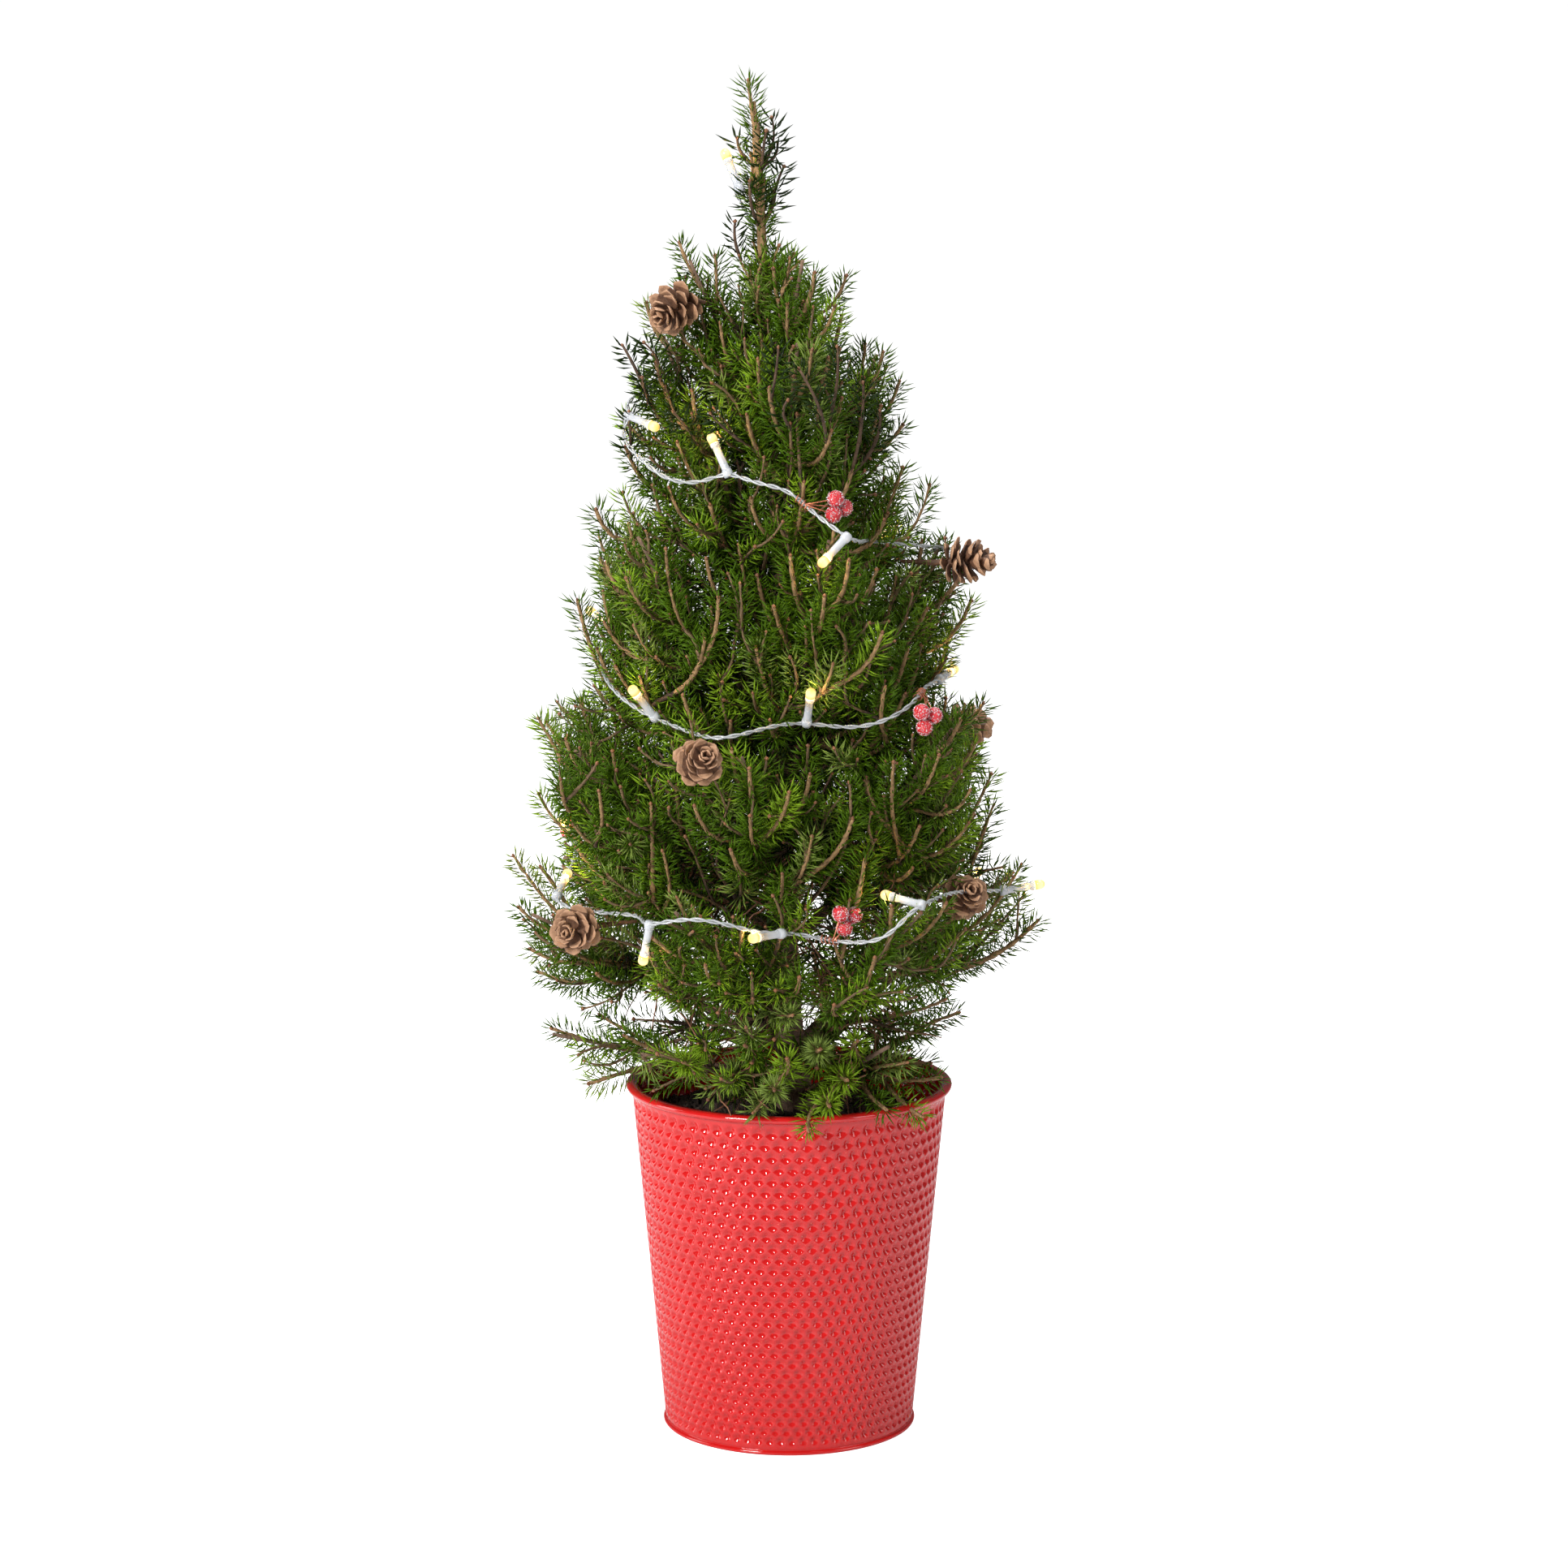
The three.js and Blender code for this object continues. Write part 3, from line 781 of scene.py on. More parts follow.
def shoot_targets(settings, random):
    """Where shoots end, which way they point there, how long they are, how old, and in which mass."""
    (points, normals, owners, inner), centres = shoot_places(random)
    points = trunk_at(points[:, 2]) + from_trunk(points) * slimness(points[:, 2:])
    z, place = points[:, 2], from_trunk(points)
    count = len(points)
    clear = np.linalg.norm(place[:, :2], axis=1) > np.interp(z, [0.60, 0.76], [0.016, 0.003])
    in_pot = np.linalg.norm(points[:, :2], axis=1) < RIM_RADIUS - 0.02
    clear &= (z >= POT_HEIGHT + 0.012) | in_pot | ~inner
    aside = np.abs(np.arctan2(place[:, 0], -place[:, 1]) + 0.20) > 0.36  # of the tuft over the rim
    bare_share = np.interp(z, [0.235, 0.285], [0.98, 0.60])
    clear &= ~(aside & (z < 0.285) & (random.uniform(size=count) < bare_share))
    clear &= ~(inner & (z < 0.35) & (random.uniform(size=count) < 0.8))
    long_share = np.interp(z, [0.68, 0.74], [0.3, 0.08])
    leading = ~inner & (normals[:, 2] > -0.5) & (random.uniform(size=count) < long_share)
    order = random.permutation(np.flatnonzero(clear))
    order = order[np.argsort(inner[order] * 1 - leading[order] * 1, kind="stable")]
    points, normals, owners, inner, leading, aside = (
        each[order] for each in (points, normals, owners, inner, leading, aside))
    z = points[:, 2]
    thin = np.where(aside, np.interp(z, [0.22, 0.25, 0.31, 0.36], [1.3, 1.45, 1.3, 1.0]), 1.0)
    fine = np.interp(z, [0.6, 0.72, 0.8], [1.0, 0.85, 0.60])
    spacing = np.where(inner, settings.inner_spacing, settings.spacing)
    spacing = np.where(leading, settings.leader_spacing, spacing) * thin * fine

    lead = np.array(LEADING_SHOOTS)
    lead_out = outward(np.radians(lead[:, 0]))
    lead_points = trunk_at(lead[:, 1]) + lead_out * lead[:, 2:3]
    nearest = np.linalg.norm(lead_points[:, None] - centres[None], axis=-1).argmin(1)
    first = (lead_points, lead_out, nearest, np.zeros(len(lead), bool), np.ones(len(lead), bool),
             np.zeros(len(lead)))
    points, normals, owners, inner, leading, spacing = (
        np.concatenate(both) for both in zip(first, (points, normals, owners, inner, leading, spacing)))
    sink = random.uniform(0.004, 0.016, len(points))
    sink = sink * np.interp(points[:, 2], [0.24, 0.36, 0.72, 0.8], [0.3, 1, 1, 0.3])
    points = points - normals * np.where(~inner & ~leading, sink, 0)[:, None]
    kept = thinned(points, spacing)
    points, normals, owners, inner, leading = (
        each[kept] for each in (points, normals, owners, inner, leading))

    count, z = len(points), points[:, 2]
    loose = np.interp(z, [0.62, 0.76], [1, 0.45])
    noise = random.normal(size=(count, 3)) * LEVEL * (np.where(leading, 0.16, 0.62) * loose)[:, None]
    out = unit(0.6 * unit(from_trunk(points) * LEVEL) + 0.5 * normals * LEVEL
               + 0.25 * unit(from_trunk(centres[owners]) * LEVEL) + noise)
    rise = elevation_at(z) + random.normal(size=count) * np.where(leading, 0.10, 0.40) * loose
    rise = rise - np.where(leading, 0, 0.38) * loose + 0.20 * normals[:, 2]
    rise = np.clip(rise, -0.9, 1.5)
    length = np.where(leading, settings.leader_length, settings.shoot_length)
    length = length * np.clip(random.normal(1, 0.2, count), 0.6, 1.5)
    length = length * np.interp(z, [0.66, 0.76], [1, 0.66])
    towards = np.cos(rise)[:, None] * out + np.sin(rise)[:, None] * UP
    return {"tip": points, "out": out, "towards": towards, "rise": rise, "length": length,
            "inner": inner, "leading": leading, "owner": owners}


def grow(settings):
    """Grows the tree, once. Inside each mass the tips are taken long shoots first, in order of distance
    from the mass's main stem. Each joins the wood grown so far where the way is short and turns least: the
    cost is the distance, less where the tip lies ahead of that wood and ahead of the shoot's own direction.
    A cubic curve joins them; its last stretch is the shoot, and the rest is an older twig."""
    if "tree" in GROWN:
        return GROWN["tree"]
    random = np.random.default_rng(settings.seed)
    tree = shoot_targets(settings, random)
    count = len(tree["tip"])
    paths, twigs = np.zeros((count, SHOOT_RINGS, 3)), np.zeros((count, SHOOT_RINGS, 3))
    carried, parent = np.ones(count), np.full(count, -1)
    tree["axes"] = [mass_axis(name) for name in MASSES]
    grown_order = []
    ring = np.linspace(0, 1, SHOOT_RINGS)
    for owner, name in enumerate(MASSES):
        line = tree["axes"][owner]
        if line is None:
            line = trunk_at(np.linspace(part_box(name)[0].z - 0.05, TRUNK_LINE[-1, 2] - 0.004, 32))
        elif not bough_of(name):
            line = np.concatenate([trunk_at(line[0, 2] - np.linspace(0.05, 0.003, 8)), line])
        wood, lean = line, unit(np.gradient(line, axis=0))
        source = np.full(len(line), -1)
        mine = np.flatnonzero(tree["owner"] == owner)
        away = np.linalg.norm(tree["tip"][mine][:, None] - line[None], axis=-1).min(1)
        for i in mine[np.argsort(away - tree["leading"][mine])]:
            tip, way, length = tree["tip"][i], tree["towards"][i], tree["length"][i]
            gap = tip - wood
            distance = np.linalg.norm(gap, axis=1)
            ahead = gap / np.maximum(distance, 1e-6)[:, None]
            along = ahead @ way
            cost = distance * (2.6 - 0.6 * (ahead * lean).sum(1) - 1.7 * along
                               + 2.5 * np.clip(0.5 - along, 0, 1))
            best = (cost + 2.5 * np.clip(0.75 * length - distance, 0, 1)).argmin()
            parent[i] = source[best]
            leave = unit(0.35 * lean[best] + 0.8 * ahead[best]) * 0.22 * distance[best]
            reach = np.clip(0.85 * length, 0.45 * distance[best], 0.62 * distance[best])
            arrive = unit(0.8 * way + 0.2 * ahead[best]) * reach
            limb = bezier(wood[best], wood[best] + leave, tip - arrive, tip, 24)
            run = run_along(limb)
            split = max(run[-1] - length, 0.04 * run[-1])
            tree["length"][i] = run[-1] - split
            for store, start, stop in ((twigs, 0, split), (paths, split, run[-1])):
                store[i] = at_runs(limb, run, start + (stop - start) * ring)
            fresh = np.concatenate([twigs[i, 1:], paths[i, 1:6]])
            wood = np.concatenate([wood, fresh])
            lean = np.concatenate([lean, unit(np.gradient(fresh, axis=0))])
            source = np.concatenate([source, np.full(len(fresh), i)])
            grown_order.append(i)
    for i in reversed(grown_order):
        if parent[i] >= 0:
            carried[parent[i]] += carried[i]
    tree.update(paths=paths, twigs=twigs, carried=carried)
    GROWN["tree"] = tree
    return tree


def bark_relief(seed, depth):
    """Ridges of bark: noise long along the wood and fine across it, times depth."""

    def relief(points):
        coarse = waves(points * [1, 1, 0.28], 5 * MM, seed, 14)
        return depth * (coarse + 0.45 * waves(points, 1.7 * MM, seed + 1, 12))

    return relief


def shoot_bark(settings):
    """Bark of the long shoots and of the top of the trunk."""
    return finish_material(
        "shoot bark", settings.shoot_bark, lighter(settings.shoot_bark, 0.42), mottle=330, roughness=0.75,
        grain=0.0004, grain_scale=1100, stretch=(1, 1, 0.6), Specular_IOR_Level=0.25)


def cushions(points):
    """Leaf cushions: short lumps of a young stem."""
    return 0.42 * MM * waves(points, 2.0 * MM, 17, 14)


class TREE_OT_wood(bpy.types.Operator):
    """Grows the tree, and makes the trunk, the boughs and the main stem of every mass with bark's relief"""

    bl_idname = "tree.wood"
    bl_label = "Trunk and boughs"

    def execute(self, context):
        settings = context.scene.tree_growth
        GROWN.pop("tree", None)
        tree = grow(settings)
        z = TRUNK_LINE[0, 2] + np.linspace(0, 1, 260) ** 1.25 * (TRUNK_LINE[-1, 2] - TRUNK_LINE[0, 2])
        radii = np.interp(z, TRUNK_LINE[:, 2], TRUNK_RADII)[None]
        radii = radii + 1.3 * MM * np.interp(z, [0.70, 0.76, 0.805, 0.82], [0, 1, 1, 0])
        trunk = smoothed(trunk_at(z), 12)[None]
        parts = [tubes(trunk, radii, TRUNK_SIDES, bark_relief(3, 0.35 * MM))]
        bough_paths, bough_radii, stem_paths, stem_radii = [], [], [], []
        for name, axis in zip(MASSES, tree["axes"]):
            if axis is None:
                continue
            thick = 2.1 * MM
            if bough_of(name):
                line, radii = bough_line(bough_of(name))
                start = trunk_at(line[0, 2])
                turned = 2 * line[1] - (line[0] + line[-1]) / 2  # handle of the curve through the rings
                t = np.linspace(0, 1, 26)[:, None]
                path = (1 - t) ** 2 * line[0] + 2 * t * (1 - t) * turned + t ** 2 * line[-1]
                path = np.concatenate([start[None] + (path[0] - start) * 0.4, path])
                bough_paths.append(path)
                t = np.linspace(0, 1, len(path))
                bough_radii.append(np.interp(t, [0, 0.08, 1], [radii[1] * 1.7, radii[1] * 1.2, radii[-1]]))
                thick = radii[-1]
            stem_paths.append(axis)
            stem_radii.append(np.linspace(thick, 1.1 * MM, len(axis)))
        parts.append(tubes(np.array(bough_paths), np.array(bough_radii), 14, bark_relief(7, 0.22 * MM)))
        parts.append(tubes(np.array(stem_paths), np.array(stem_radii), 10, bark_relief(9, 0.15 * MM)))
        vertices, face_sets = joined(parts)
        ring_of = np.arange(len(face_sets[0])) // TRUNK_SIDES
        young = np.zeros(sum(len(faces) for faces in face_sets), int)
        young[:len(ring_of)] = ring_of > np.searchsorted(z, 0.66)  # the trunk's quads come first
        bark = finish_material(
            "old bark", settings.old_bark, lighter(settings.old_bark, 2.3), mottle=170, roughness=0.92,
            grain=0.0007, grain_scale=700, stretch=(1, 1, 0.35))
        new_piece("trunk_and_boughs", (vertices, face_sets), [bark, shoot_bark(settings)], "bark",
                  ["trunk", *BOUGHS], material_index=young)
        return {"FINISHED"}


class TREE_OT_twigs(bpy.types.Operator):
    """Makes the twigs, this year's shoots with their buds, and the dead twigs inside the crown"""

    bl_idname = "tree.twigs"
    bl_label = "Twigs and shoots"

    def execute(self, context):
        settings = context.scene.tree_growth
        tree = grow(settings)
        random = np.random.default_rng(settings.seed + 1)
        slim = np.where(tree["leading"], 1, 0.68)[:, None]
        head = settings.shoot_radius * slim
        foot = np.clip(head * 0.95 * tree["carried"][:, None] ** 0.30, 0, 3.0 * MM)
        radii = foot + (head - foot) * np.linspace(0, 1, SHOOT_RINGS)[None]
        twig_bark = finish_material(
            "twig bark", (0.115, 0.062, 0.034), (0.040, 0.024, 0.015), mottle=120, roughness=0.88,
            grain=0.0005, grain_scale=900)
        new_piece("twigs", tubes(tree["twigs"], radii, 4), [twig_bark], "bark")

        inner = tree["inner"]
        # Long shoots and the outer shoots at the top keep the shoot bark's own colour; the other outer
        # shoots take a darker copy of it, painted shade on shoots set deeper among the needles.
        unshaded = tree["leading"] | (~inner & (tree["tip"][:, 2] > 0.71))
        shaded_side_bark = finish_material(
            "side shoot bark", lighter(settings.shoot_bark, 0.55), lighter(settings.shoot_bark, 0.3),
            mottle=330, roughness=0.75, grain=0.0004, grain_scale=1100, stretch=(1, 1, 0.6))
        stout = settings.shoot_radius * random.uniform(0.85, 1.2, (len(inner), 1)) * slim
        kinds = (("long_shoots", unshaded, shoot_bark(settings), 22, 7, cushions),
                 ("side_shoots", ~inner & ~unshaded, shaded_side_bark, 8, 5, cushions),
                 ("inner_shoots", inner, twig_bark, SHOOT_RINGS, 5, None))
        for name, chosen, bark, steps, sides, relief in kinds:
            share = np.linspace(0, 1, steps)[None]
            paths = between(tree["paths"][chosen], share)
            shells = tubes(paths, stout[chosen] * (1 - 0.38 * share), sides, relief)
            new_piece(name, shells, [bark], "bark")

        tips, ways = tree["tip"], tree["towards"]
        bud_steps = np.array([-0.4, 0.8, 2.0])[None, :, None] * MM
        paths = tips[:, None] + ways[:, None] * bud_steps
        radii = np.broadcast_to(np.array([0.8, 1.35, 0.3]) * MM, paths.shape[:2])
        radii = radii * random.uniform(0.75, 1.25, (len(tips), 1))
        bud = finish_material("buds", (0.30, 0.12, 0.045), (0.13, 0.055, 0.03), mottle=400, roughness=0.6)
        new_piece("buds", tubes(paths, radii, 4), [bud], "bark")

        count, steps = settings.dead_twigs, 6
        low = np.flatnonzero(tree["twigs"][:, 0, 2] < 0.38)
        hosts = tree["twigs"][random.choice(low, count), random.integers(0, 3, count)]
        reach = np.linalg.norm(from_trunk(hosts)[:, :2], axis=1)
        hosts = hosts[np.argsort(reach + random.uniform(0, 0.03, count))]
        out = unit(from_trunk(hosts) * LEVEL + random.normal(size=(count, 3)) * 0.02)
        way = unit(out + random.normal(size=(count, 3)) * [0.7, 0.7, 0.8])
        length = random.uniform(0.018, 0.055, (count, 1))
        crooked = np.cumsum(random.normal(size=(count, steps, 3)) * 0.0016, axis=1)
        line = np.linspace(0, 1, steps)[None, :, None]
        paths = hosts[:, None] + way[:, None] * length[:, None] * line + crooked * (line > 0)
        keep = (paths[..., 2] > SOIL_TOP + 0.004).all(1)
        keep &= (np.linalg.norm(paths[..., :2], axis=-1) < 0.105).all(1)
        paths = paths[keep]
        radii = random.uniform(0.5, 1.0, (len(paths), 1)) * MM * np.linspace(1, 0.4, steps)[None]
        dead = finish_material("dead twigs", (0.30, 0.13, 0.065), (0.13, 0.062, 0.038), mottle=150,
                               roughness=0.9)
        new_piece("dead_twigs", tubes(paths, radii, 4), [dead], "bark")
        return {"FINISHED"}


# ---- Needles ----


def needle_shells(feet, ways, bends, lengths, widths):
    """Needles as closed spindles of six faces: a point at the foot, a three-sided ring near the middle
    and a point at the tip. The tip is moved by the bend."""
    level = unit(np.cross(ways, np.where(np.abs(ways[:, 2:3]) > 0.9, [[1.0, 0, 0]], UP[None])))
    over = np.cross(ways, level)
    turns = circle(3)
    spokes = np.cos(turns)[None, :, None] * level[:, None] + np.sin(turns)[None, :, None] * over[:, None]
    middle = feet + ways * lengths[:, None] * 0.55
    ring = middle[:, None] + spokes * widths[:, None, None] / 2
    tips = feet + ways * lengths[:, None] + bends * lengths[:, None]
    vertices = np.concatenate([feet[:, None], ring, tips[:, None]], 1)
    faces = np.array([[0, 2, 1], [0, 3, 2], [0, 1, 3], [4, 1, 2], [4, 2, 3], [4, 3, 1]])
    return vertices.reshape(-1, 3), [repeat_faces(faces, len(feet), 5)]


def needle_spacing(tree):
    """How far apart needles stand on each shoot, in needle pitches: closest on the long ones."""
    return np.where(tree["inner"], 1.7, np.where(tree["leading"], 0.86, 1.15))


def needles_on(tree, chosen, settings, random):
    """Needles of the chosen shoots. They stand round the stem at golden turns, lean forward a little more
    towards the tip, where they part round the bud, and are fewer on a rising shoot's outer side."""
    paths = tree["paths"][chosen]
    count, steps = len(paths), paths.shape[1] - 1
    stem = tree["length"][chosen][:, None]
    full = stem / (settings.needle_pitch * needle_spacing(tree)[chosen][:, None])
    per = int(full.max())
    along, across, over = carried_frames(paths)
    place = (np.arange(per)[None] + 0.5) / full + random.normal(size=(count, per)) * 0.006
    there = place < 1
    place = np.clip(place, 0, 1)
    low = np.minimum((place * steps).astype(int), steps - 1)
    row = np.arange(count)[:, None]
    way = unit(between(along, place))
    turn = np.arange(per)[None] * GOLDEN_TURN + random.uniform(0, FULL_TURN, (count, 1))
    turn = (turn + random.normal(size=turn.shape) * 0.25)[..., None]
    spoke = np.cos(turn) * across[row, low] + np.sin(turn) * over[row, low]
    left = (1 - place) * stem  # metres of stem left up to the bud
    parted = np.exp(-left / (3 * MM))
    lean = np.radians(72 - 12 * place - 22 * parted) + random.normal(size=place.shape) * 0.19
    ways = unit(np.cos(lean)[..., None] * way + np.sin(lean)[..., None] * spoke)
    lengths = settings.needle_length * random.normal(1, 0.12, lean.shape)
    lengths = lengths * (0.75 + 0.25 * np.clip(place * 5, 0, 1)) * (1 - 0.25 * parted)
    lengths = lengths * random.normal(1, 0.09, (count, 1))
    widths = settings.needle_width * random.uniform(0.8, 1.15, lean.shape)
    widths = widths * np.where(tree["inner"][chosen], 1.45, 1.0)[:, None]
    feet = between(paths, place) + spoke * settings.shoot_radius * 0.5
    bends = way * 0.07 + UP * 0.03
    rise = np.clip(np.sin(tree["rise"][chosen])[:, None], 0, 1)
    outer = (spoke * tree["out"][chosen][:, None]).sum(-1)
    sparse = np.where(tree["leading"][chosen][:, None], 0.3, 0.2) * np.clip(outer - 0.35, 0, 1) / 0.65
    outer_loss = (random.uniform(size=outer.shape) < sparse * rise) & (left > 8 * MM)
    foot_loss = random.uniform(size=outer.shape) < 0.5 * np.clip(1 - place * 4, 0, 1)
    keep = there & ~outer_loss & ~foot_loss
    return needle_shells(feet[keep], ways[keep], bends[keep], lengths[keep], widths[keep])


class TREE_OT_needles(bpy.types.Operator):
    """Makes the needles of every shoot, in pieces by shade, dealt out by shoot"""

    bl_idname = "tree.needles"
    bl_label = "Needles"

    def execute(self, context):
        settings = context.scene.tree_growth
        tree = grow(settings)
        random = np.random.default_rng(settings.seed + 2)
        tip = tree["tip"]
        z, draw = tip[:, 2], random.uniform(size=len(tip))
        ahead = np.abs(np.arctan2(tip[:, 0], -tip[:, 1])) < 0.6
        young = np.interp(z, [0.25, 0.5, 0.8], [0.10, 0.22, 0.16])
        # The front tuft over the rim takes more light green: young growth, and painted light standing in for
        # the light on the front of the tuft.
        young = np.where(ahead & (z < 0.31), 0.42, young)
        bloomed = np.interp(z, [0.21, 0.32, 0.42], [0.42, 0.2, 0.06])
        shade = np.where(draw < young, 2, np.where(draw < young + bloomed, 3, 1))
        # Every inner shoot takes the deep green: older needles, and painted shade deep inside the crown.
        shade = np.where(tree["inner"], 0, shade)
        shades = (("deep", settings.old_shaded_green), ("green", settings.green),
                  ("light", settings.light_green), ("grey", settings.grey_green))
        replaced = MASSES  # by the first piece
        for index, (label, colour) in enumerate(shades):
            members = random.permutation(np.flatnonzero(shade == index))
            material = finish_material(
                f"{label} needles", colour, lighter(colour, 1.55), mottle=85, roughness=0.36,
                roughness_second=0.5, Specular_IOR_Level=0.13)
            likely = np.cumsum(tree["length"][members] / needle_spacing(tree)[members])
            likely = likely / settings.needle_pitch * 6
            for part in range(int(likely[-1] / PIECE_LIMIT) + 1):
                batch = members[(likely / PIECE_LIMIT).astype(int) == part]
                shells = needles_on(tree, batch, settings, random)
                new_piece(f"needles_{label}_{part + 1}", shells, [material], "needles", replaced)
                replaced = ()
        return {"FINISHED"}


# ---- Decorations ----

# The cable's route: turn in degrees, counted on from loop to loop, and height.
CABLE_ROUTE = [
    (-48, 0.770), (-80, 0.772), (-125, 0.766), (-175, 0.742), (-190, 0.708), (-150, 0.672), (-95, 0.648),
    (-66, 0.640), (-76, 0.624),
    (-64, 0.610), (-54, 0.599), (-40, 0.596), (-25, 0.606), (-8, 0.599), (7, 0.597), (16, 0.580),
    (24, 0.565), (48, 0.563), (74, 0.556), (105, 0.549), (150, 0.531), (195, 0.521), (240, 0.500),
    (285, 0.476), (315, 0.458), (338, 0.450), (355, 0.457), (368, 0.460), (383, 0.454), (394, 0.460),
    (408, 0.474), (432, 0.474), (450, 0.478), (490, 0.463), (530, 0.440), (570, 0.417), (610, 0.386),
    (640, 0.352), (660, 0.338), (680, 0.343), (690, 0.344), (700, 0.353), (707, 0.349), (714, 0.339),
    (722, 0.336), (732, 0.331), (740, 0.334), (745, 0.344), (750, 0.358), (775, 0.352), (810, 0.338),
    (850, 0.325), (895, 0.313),
]
# Lamps in front: the turn and height of the holder's foot on the cable, and of the lamp.
FRONT_LAMPS = [
    (-48, 0.770, -76, 0.790), (-66, 0.640, -50, 0.628), (-23, 0.606, -36, 0.632), (22, 0.567, 9, 0.549),
    (368, 0.461, 369, 0.485), (434, 0.474, 450, 0.479), (316, 0.456, 315, 0.474), (650, 0.345, 643, 0.357),
    (751, 0.360, 744, 0.360), (719, 0.336, 708, 0.338), (690, 0.343, 688, 0.317),
]
BACK_LAMP_TURNS = [-155, 112, 158, 204, 250, 500, 545, 590, 628, 800, 845, 895]
# Cones: turn, height, and the way each faces.
CONES = [
    (-60, 0.700, (-0.60, -0.70, -0.35)), (78, 0.547, (0.93, -0.28, 0.10)),
    (-18, 0.443, (0.25, -0.90, 0.40)), (-55, 0.331, (-0.32, -0.92, 0.08)),
    (64, 0.345, (0.30, -0.85, 0.45)), (-138, 0.47, (-0.7, 0.7, 0.2)), (158, 0.60, (0.3, 0.9, -0.2)),
    (184, 0.385, (0.1, 0.95, 0.3)), (124, 0.43, (0.8, 0.5, -0.1)), (-152, 0.33, (-0.4, 0.9, 0.2)),
]
# Berries: turn and height of a bunch, and the turn and height where its wire is wound on the cable.
BERRIES = [
    (24, 0.586, 12, 0.588), (42, 0.461, 410, 0.474), (16, 0.345, 732, 0.331), (206, 0.532, 195, 0.521),
    (186, 0.45, 530, 0.440), (-104, 0.372, 620, 0.378), (134, 0.365, 850, 0.325),
]


def surface_point(turn, z, lift):
    """Points at turns in degrees and heights z, lift outside the crown: its reach there is the 60th
    percentile of rays cast inwards near each point, slimmed at the leader."""
    points = []
    for each_turn, each_z in zip(np.atleast_1d(turn), np.atleast_1d(z)):
        near = [reach_at(math.radians(each_turn + side), each_z + rise)
                for side in (-9, -4, 0, 4, 9) for rise in (-0.012, 0, 0.012)]
        hits = [reach for reach in near if reach > 0]
        reach = np.percentile(hits, 60) if hits else 0.03
        reach = max(reach * slimness(each_z), min(reach, 0.014))
        points.append(trunk_at(each_z) + outward(math.radians(each_turn)) * (reach + lift))
    return np.array(points)


def evenly(curve, step):
    """Points of a curve about step apart along it."""
    run = run_along(curve)
    return at_runs(curve, run, np.linspace(0, run[-1], max(3, int(run[-1] / step))))


def smooth_line(points, step):
    """A Catmull-Rom curve through points, as points about step apart."""
    ends = np.concatenate([2 * points[:1] - points[1:2], points, 2 * points[-1:] - points[-2:-1]])
    p0, p1, p2, p3 = ends[:-3], ends[1:-2], ends[2:-1], ends[3:]
    t = np.linspace(0, 1, 40, endpoint=False)[:, None, None]
    curve = 0.5 * (2 * p1 + (p2 - p0) * t + (2 * p0 - 5 * p1 + 4 * p2 - p3) * t ** 2
                   + (3 * p1 - 3 * p2 + p3 - p0) * t ** 3)
    curve = np.concatenate([curve.transpose(1, 0, 2).reshape(-1, 3), points[-1:]])
    return evenly(curve, step)


def cable_line(settings):
    """The cable's middle line on the crown, worked out once."""
    if "cable" not in GROWN:
        stops = np.arange(len(CABLE_ROUTE))
        fine = np.linspace(0, len(stops) - 1, len(stops) * 4)
        turns, heights = (np.interp(fine, stops, values) for values in np.array(CABLE_ROUTE).T)
        points = smoothed(surface_point(turns, heights, settings.cable_lift), 6)
        GROWN["cable"] = smooth_line(points, CABLE_STEP)
    return GROWN["cable"]


def nearest_on(line, point):
    """Index of the point of a line nearest to a point."""
    return np.linalg.norm(line - point, axis=1).argmin()


class TREE_OT_cable(bpy.types.Operator):
    """Makes the clear cable of two twisted strands and the tinned wire inside each"""

    bl_idname = "tree.cable"
    bl_label = "Cable"

    def execute(self, context):
        settings = context.scene.tree_dress
        GROWN.pop("cable", None)
        line = cable_line(settings)[None]
        _, across, over = carried_frames(line)
        run = np.arange(line.shape[1]) * CABLE_STEP
        strands = []
        for side in (0, math.pi):
            turn = (run / settings.cable_pitch * FULL_TURN + side)[None, :, None]
            offset = np.cos(turn) * across + np.sin(turn) * over
            strands.append(line + offset * settings.strand_radius * 1.12)
        strands = np.concatenate(strands)
        radii = np.full(strands.shape[:2], settings.strand_radius)
        clear = finish_material(
            "clear cable", (0.86, 0.88, 0.90), (0.78, 0.80, 0.82), mottle=40, roughness=0.06,
            roughness_second=0.12, Transmission_Weight=0.62, IOR=1.45)
        tinned = finish_material(
            "tinned wire", (0.62, 0.63, 0.64), (0.45, 0.46, 0.47), mottle=300, roughness=0.25,
            roughness_second=0.4, Metallic=1.0)
        for name, share, sides, material in (("cable", 1.0, 7, clear), ("cable_wires", 0.42, 5, tinned)):
            new_piece(name, tubes(strands, radii * share, sides), [material], "clear_cable")
        return {"FINISHED"}


def lamp_glow(settings):
    """The lamps' warm plastic. It glows from its own colour to a paler one by the attribute core, and is
    brighter as a light than it looks."""
    glow = bpy.data.materials.get("warm lamp") or bpy.data.materials.new("warm lamp")
    glow.use_nodes = True
    tree = glow.node_tree
    shader = tree.nodes["Principled BSDF"]
    shader.inputs["Base Color"].default_value = (0.50, 0.33, 0.12, 1)
    shader.inputs["Roughness"].default_value = 0.15
    core = new_node(tree, "Attribute", attribute_name="core")
    warmth = new_node(tree, "Mix", {"A": (*settings.lamp_colour, 1), "B": (1.0, 0.86, 0.44, 1)},
                      data_type="RGBA")
    rays = new_node(tree, "LightPath")
    power = new_node(tree, "MapRange", {"To Min": settings.lamp_reach, "To Max": settings.lamp_strength})
    link(tree, (core, "Fac", warmth, "Factor"), (warmth, "Result", shader, "Emission Color"),
         (rays, "Is Camera Ray", power, "Value"), (power, "Result", shader, "Emission Strength"))
    return glow


